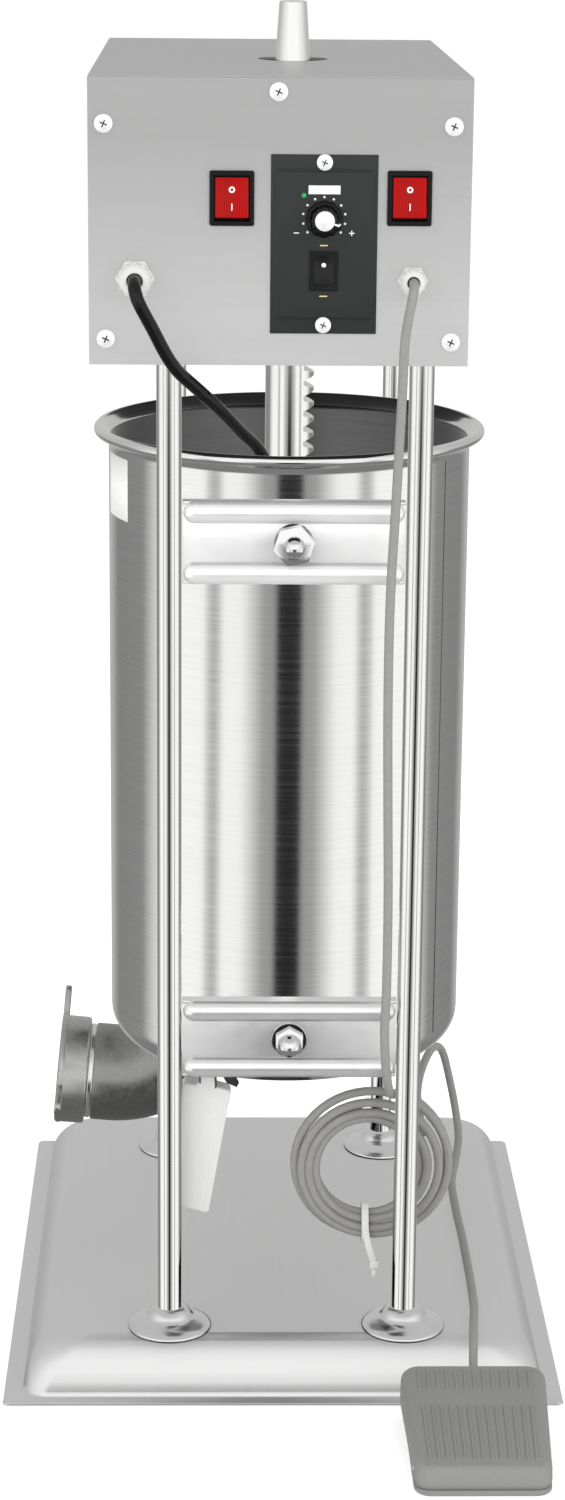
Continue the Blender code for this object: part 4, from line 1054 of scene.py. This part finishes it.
MAINS_ROUTE = [(-91, -173.6, 686), (-91, -180.5, 685.6), (-89.3, -186.5, 678), (-81.5, -181, 662),
               (-69.5, -172.5, 639), (-54.5, -157, 622)]
DROP_ROUTE = [(-54.5, -157, 622), (-43, -142, 609), (-31.5, -121, 593.5), (-18, -99, 575), (-6, -84, 540),
              (1, -75, 480), (2, -66, 400), (0, -55, 310), (-1, -45, 250), (-1, -42.5, 221.2)]
PEDAL_ROUTE = [(65, -170.1, 685.5), (65, -177.5, 685.4), (63.6, -181, 677), (60.4, -177, 655),
               (59.6, -170, 620), (57.8, -162.5, 561), (55.6, -159.5, 501), (55.4, -158.5, 441),
               (56.4, -158, 381), (57.6, -158, 319), (57.6, -158.5, 262), (56.8, -159, 238),
               (58.0, -157.5, 214), (60.6, -150, 196), (63.5, -137, 187.5), (67.5, -126, 184.3),
               (70.5, -121.5, 182.8)]
FLOOR_Z = PAN_TOP + PEDAL_CORD_R + 0.5
LOWER_ROUTE = [(82, -105.5, 149), (84, -88, 152), (86, -50, 144), (88, 0, 134), (94, 50, 131), (104, 95, 129),
               (114, 135, 112), (122, 150, 80), (126.5, 148, 56), (127, 136, 45), (123, 110, FLOOR_Z + 0.6),
               (118, 74, FLOOR_Z), (117.5, 30, FLOOR_Z), (118.5, -20, FLOOR_Z), (118.8, -85, FLOOR_Z),
               (118, -125, FLOOR_Z + 0.6), (116, -148, 40.6), (114.8, -163, 38.5), (114, -174, 32.8),
               (113.5, -182, 27.2), (113.2, -187.4, 25.2)]
COIL_CENTRE = (51.8, -117.0, 134.0)
COIL_RADIUS = 39.5
# Where the cord lies in the coil's section at the start of each turn: outwards and backwards
COIL_LAYS = [(8.4, 3.4), (8.4, -3.0), (2.7, -5.2), (-3.0, -5.2), (-8.4, -3.0), (-4.0, 1.6)]


def coil_point(turns):
    """A point of the pedal cord's coil, clockwise seen from the front, from where the cord reaches it."""
    step = min(int(turns), len(COIL_LAYS) - 2)
    share = turns - step
    near, far = COIL_LAYS[step], COIL_LAYS[step + 1]
    out = near[0] + (far[0] - near[0]) * share
    back = near[1] + (far[1] - near[1]) * share
    angle = radians(52 - 360 * turns)
    radius = COIL_RADIUS + out + 1.4 * sin(angle + 1.1 * turns)
    return Vector((COIL_CENTRE[0] + radius * cos(angle), COIL_CENTRE[1] + back,
                   COIL_CENTRE[2] + radius * sin(angle)))


def build_pedal_cord():
    turns = 4.92
    per_turn = 20
    coil = [coil_point(i / per_turn) for i in range(round(turns * per_turn))]
    route = [Vector(p) for p in PEDAL_ROUTE] + coil + [Vector(p) for p in LOWER_ROUTE]
    path, length = smooth_path(route, 6.0)
    cord = round_cord("pedal_flex", path, PEDAL_CORD_R, FLEX,
                      ("pedal_cord", "pedal_cord_coil", "pedal_cord_lower"))
    tie = build_cable_tie()


def build_cable_tie():
    """White strap around the bottom of the coil, with its head and cut tail hanging in front."""
    centre = Vector(COIL_CENTRE) + Vector((-3.0, 0, -COIL_RADIUS))
    bm = bmesh.new()
    loft(bm, [[centre + Vector((w, 9.4 * k * y, 12.6 * k * z)) for y, z in polygon(48, 1.0)]
              for w, k in ((-2.1, 1.0), (2.1, 1.0), (2.1, 1.09), (-2.1, 1.09))], closed=True)
    head = centre + Vector((6.0, -10.0, -23.5))
    strap = [centre + Vector((0, -9.6, 2)), centre + Vector((1.0, -11.2, -6)),
             centre + Vector((3.6, -11.6, -16)), head]
    line, _length = smooth_path(strap, 1.5)
    corners = ((-2.0, -0.55), (2.0, -0.55), (2.0, 0.55), (-2.0, 0.55))
    loft(bm, [[p + Vector((dx, dy, 0)) for dx, dy in corners] for p in line])
    add_box(bm, head + Vector((-2.8, -2.0, -3.0)), head + Vector((2.8, 2.0, 2.2)), 0.6, 2)
    add_box(bm, head + Vector((-1.4, -0.6, -9.5)), head + Vector((1.2, 0.5, -2.0)), 0.2, 1)
    return piece("cable_tie", bm, WHITE, smooth=50)


def build_mains_cord():
    run, _length = smooth_path(MAINS_ROUTE + DROP_ROUTE[1:], 6.0)
    join = min(range(len(run)), key=lambda i: (run[i] - Vector(DROP_ROUTE[0])).length)
    path, length = run[:join + 1], length_of(run[:join + 1])
    lead = round_cord("mains_flex", path, MAINS_R, MAINS, ("mains_cord",))

    path, length = run[join:], length_of(run[join:])
    drop = as_mesh(round_cord("mains_drop", path, MAINS_R, MAINS, ("mains_cord_drop",)))
    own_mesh(drop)

    low, high = box_mm("mains_cord_coil")
    ring_z = (low.z + high.z) / 2
    ring_r = high.x - 10.0
    lays = [(0.5, 6.1), (5.4, 2.2), (4.4, -5.2), (-3.6, -5.6), (-5.6, 1.8)]
    turns = 3.25
    per_turn = 20
    coil = []
    for i in range(round(turns * per_turn) + 1):
        turn = i / per_turn
        step = min(int(turn), len(lays) - 2)
        share = turn - step
        out = lays[step][0] + (lays[step + 1][0] - lays[step][0]) * share
        up = lays[step][1] + (lays[step + 1][1] - lays[step][1]) * share
        angle = radians(-78) + 2 * pi * turn
        coil.append(Vector(((ring_r + out) * cos(angle), (ring_r + out) * sin(angle), ring_z + up)))
    neck = Vector((28, 59.8, ring_z)) + Vector((0.906, -0.423, 0)) * 31.2
    start = [Vector((-1, -42.5, 221.2)), Vector((1.5, -42.8, 218.6))]
    finish = [Vector((66, 18, ring_z)), Vector((68.5, 33, ring_z)), Vector((63.5, 43.2, ring_z)), neck]
    path, length = smooth_path(start + coil + finish, 6.0)
    coil_piece = round_cord("mains_coil", path, MAINS_R, MAINS, ("mains_cord_coil",), "piston_rack")
    paint(BLACK, "mains_plug")


# Camera, light and floor -----------------------------------
def build_camera():
    """The camera stands about 2 m in front of the panel, looking slightly down."""
    yaw, pitch, roll = 0.022, -0.271, 0.009
    forward = Vector((sin(yaw) * cos(pitch), cos(yaw) * cos(pitch), sin(pitch)))
    right = forward.cross(Vector((0, 0, 1))).normalized()
    up = right.cross(forward)
    right_rolled = right * cos(roll) + up * sin(roll)
    up_rolled = up * cos(roll) - right * sin(roll)
    data = bpy.data.cameras.new("camera")
    data.sensor_fit = "VERTICAL"
    data.sensor_height = 36.0
    data.lens = 77.2
    data.clip_end = 300.0
    camera = bpy.data.objects.new("camera", data)
    turn = Matrix((right_rolled, up_rolled, -forward)).transposed()
    camera.matrix_world = Matrix.Translation((-0.04574, -1.97074, 0.91503)) @ turn.to_4x4()
    bpy.context.scene.collection.objects.link(camera)
    bpy.context.scene.camera = camera


def build_world():
    """Studio surroundings: white panels left and right of a narrow dark gap in front, greyer behind."""
    world = bpy.data.worlds.new("studio")
    bpy.context.scene.world = world
    world.use_nodes = True
    tree = world.node_tree
    tree.nodes.clear()

    def maths(operation, *values):
        node = add_node(tree, "ShaderNodeMath", {"operation": operation})
        for socket, value in zip(node.inputs, values):
            if isinstance(value, float):
                socket.default_value = value
            else:
                tree.links.new(value, socket)
        return node.outputs[0]

    place = add_node(tree, "ShaderNodeTexCoord").outputs["Generated"]
    axes = add_node(tree, "ShaderNodeSeparateXYZ", Vector=place).outputs
    angle = maths("ABSOLUTE", maths("ARCTAN2", axes["X"], maths("MULTIPLY", axes["Y"], -1.0)))
    share = maths("DIVIDE", angle, pi)

    def ramp(stops):
        """Brightness by the angle away from -Y, in degrees."""
        node = add_node(tree, "ShaderNodeValToRGB", Fac=share)
        elements = node.color_ramp.elements
        elements.remove(elements[-1])
        for i, (azimuth, value) in enumerate(stops):
            element = elements[0] if i == 0 else elements.new(azimuth / 180)
            element.position = azimuth / 180
            element.color = (value, value, value * 0.995, 1)
        return node.outputs["Color"]

    def blend(first, second, start, end):
        """Goes from the first colour to the second between two heights on the sphere."""
        height = add_node(tree, "ShaderNodeMapRange", {"interpolation_type": "SMOOTHSTEP"}, Value=axes["Z"],
                          From_Min=start, From_Max=end)
        ends = [(each, each, each, 1) if isinstance(each, float) else each for each in (first, second)]
        mix = add_node(tree, "ShaderNodeMix", {"data_type": "RGBA"}, Factor=height.outputs["Result"],
                       A=ends[0], B=ends[1])
        return mix.outputs["Result"]

    panels = ramp([(0, 0.02), (7, 0.022), (10, 0.36), (17, 0.38), (25, 0.72), (32, 1.02), (44, 1.05),
                   (48, 0.62), (50.5, 0.45), (55, 0.62), (59, 1.05), (84, 1.06), (100, 0.66), (111, 0.27),
                   (146, 0.24), (162, 0.46), (180, 0.54)])
    upper = ramp([(0, 1.10), (30, 1.08), (60, 0.95), (85, 0.75), (105, 0.60), (125, 0.52), (160, 0.56),
                  (180, 0.58)])
    color = blend(blend(blend(0.22, panels, -0.62, -0.48), upper, -0.18, -0.06), 0.56, 0.48, 0.85)
    background = add_node(tree, "ShaderNodeBackground", Color=color)
    add_node(tree, "ShaderNodeOutputWorld", Surface=background.outputs[0])


def build_lights():
    for name, place, size, power in (("key", (-1.6, -2.2, 2.4), 1.8, 26.0),
                                     ("fill", (1.9, -1.7, 1.6), 1.8, 18.0),
                                     ("top", (0.0, 0.4, 2.8), 2.0, 14.0)):
        data = bpy.data.lights.new(name, "AREA")
        data.size = size
        data.energy = power
        light = bpy.data.objects.new(name, data)
        light.location = place
        light.rotation_euler = (Vector((0, 0, 0.4)) - Vector(place)).to_track_quat("-Z", "Y").to_euler()
        light.visible_glossy = False
        bpy.context.scene.collection.objects.link(light)


def build_floor():
    bm = bmesh.new()
    bmesh.ops.create_grid(bm, x_segments=1, y_segments=1, size=60.0)
    mesh = bpy.data.meshes.new("floor")
    bm.to_mesh(mesh)
    bm.free()
    mat = shader("pale_floor", None, (0.92, 0.92, 0.92), 0.0, 0.9, Emission_Color=(1.0, 1.0, 1.0, 1.0),
                 Emission_Strength=0.42)
    mesh.materials.append(mat)
    floor = bpy.data.objects.new("floor", mesh)
    floor.location = (0, 0, -0.0002)
    floor.visible_glossy = False
    bpy.context.scene.collection.objects.link(floor)


def leave_out_of_reflections():
    """Keeps the barrel's bands clean: only the rack and the piston show in mirrors."""
    shown = ("piston_dish", "toothed_bar", "release_valve", "piston_ring_seal")
    for obj in bpy.context.scene.objects:
        if obj.type in ("MESH", "CURVE") and obj.name not in shown and obj.name not in NODES:
            obj.visible_glossy = False


bpy.context.scene.view_settings.view_transform = "Standard"
build_camera()
build_world()
build_lights()
build_floor()
build_mains_cord()
build_pedal_cord()
build_base()
build_posts()
build_crossbars()
build_bolts()
build_housing()
build_controller()
build_rockers()
build_glands()
build_barrel()
build_spout()
build_piston()
build_rack()
build_lever()
build_pedal()
leave_out_of_reflections()
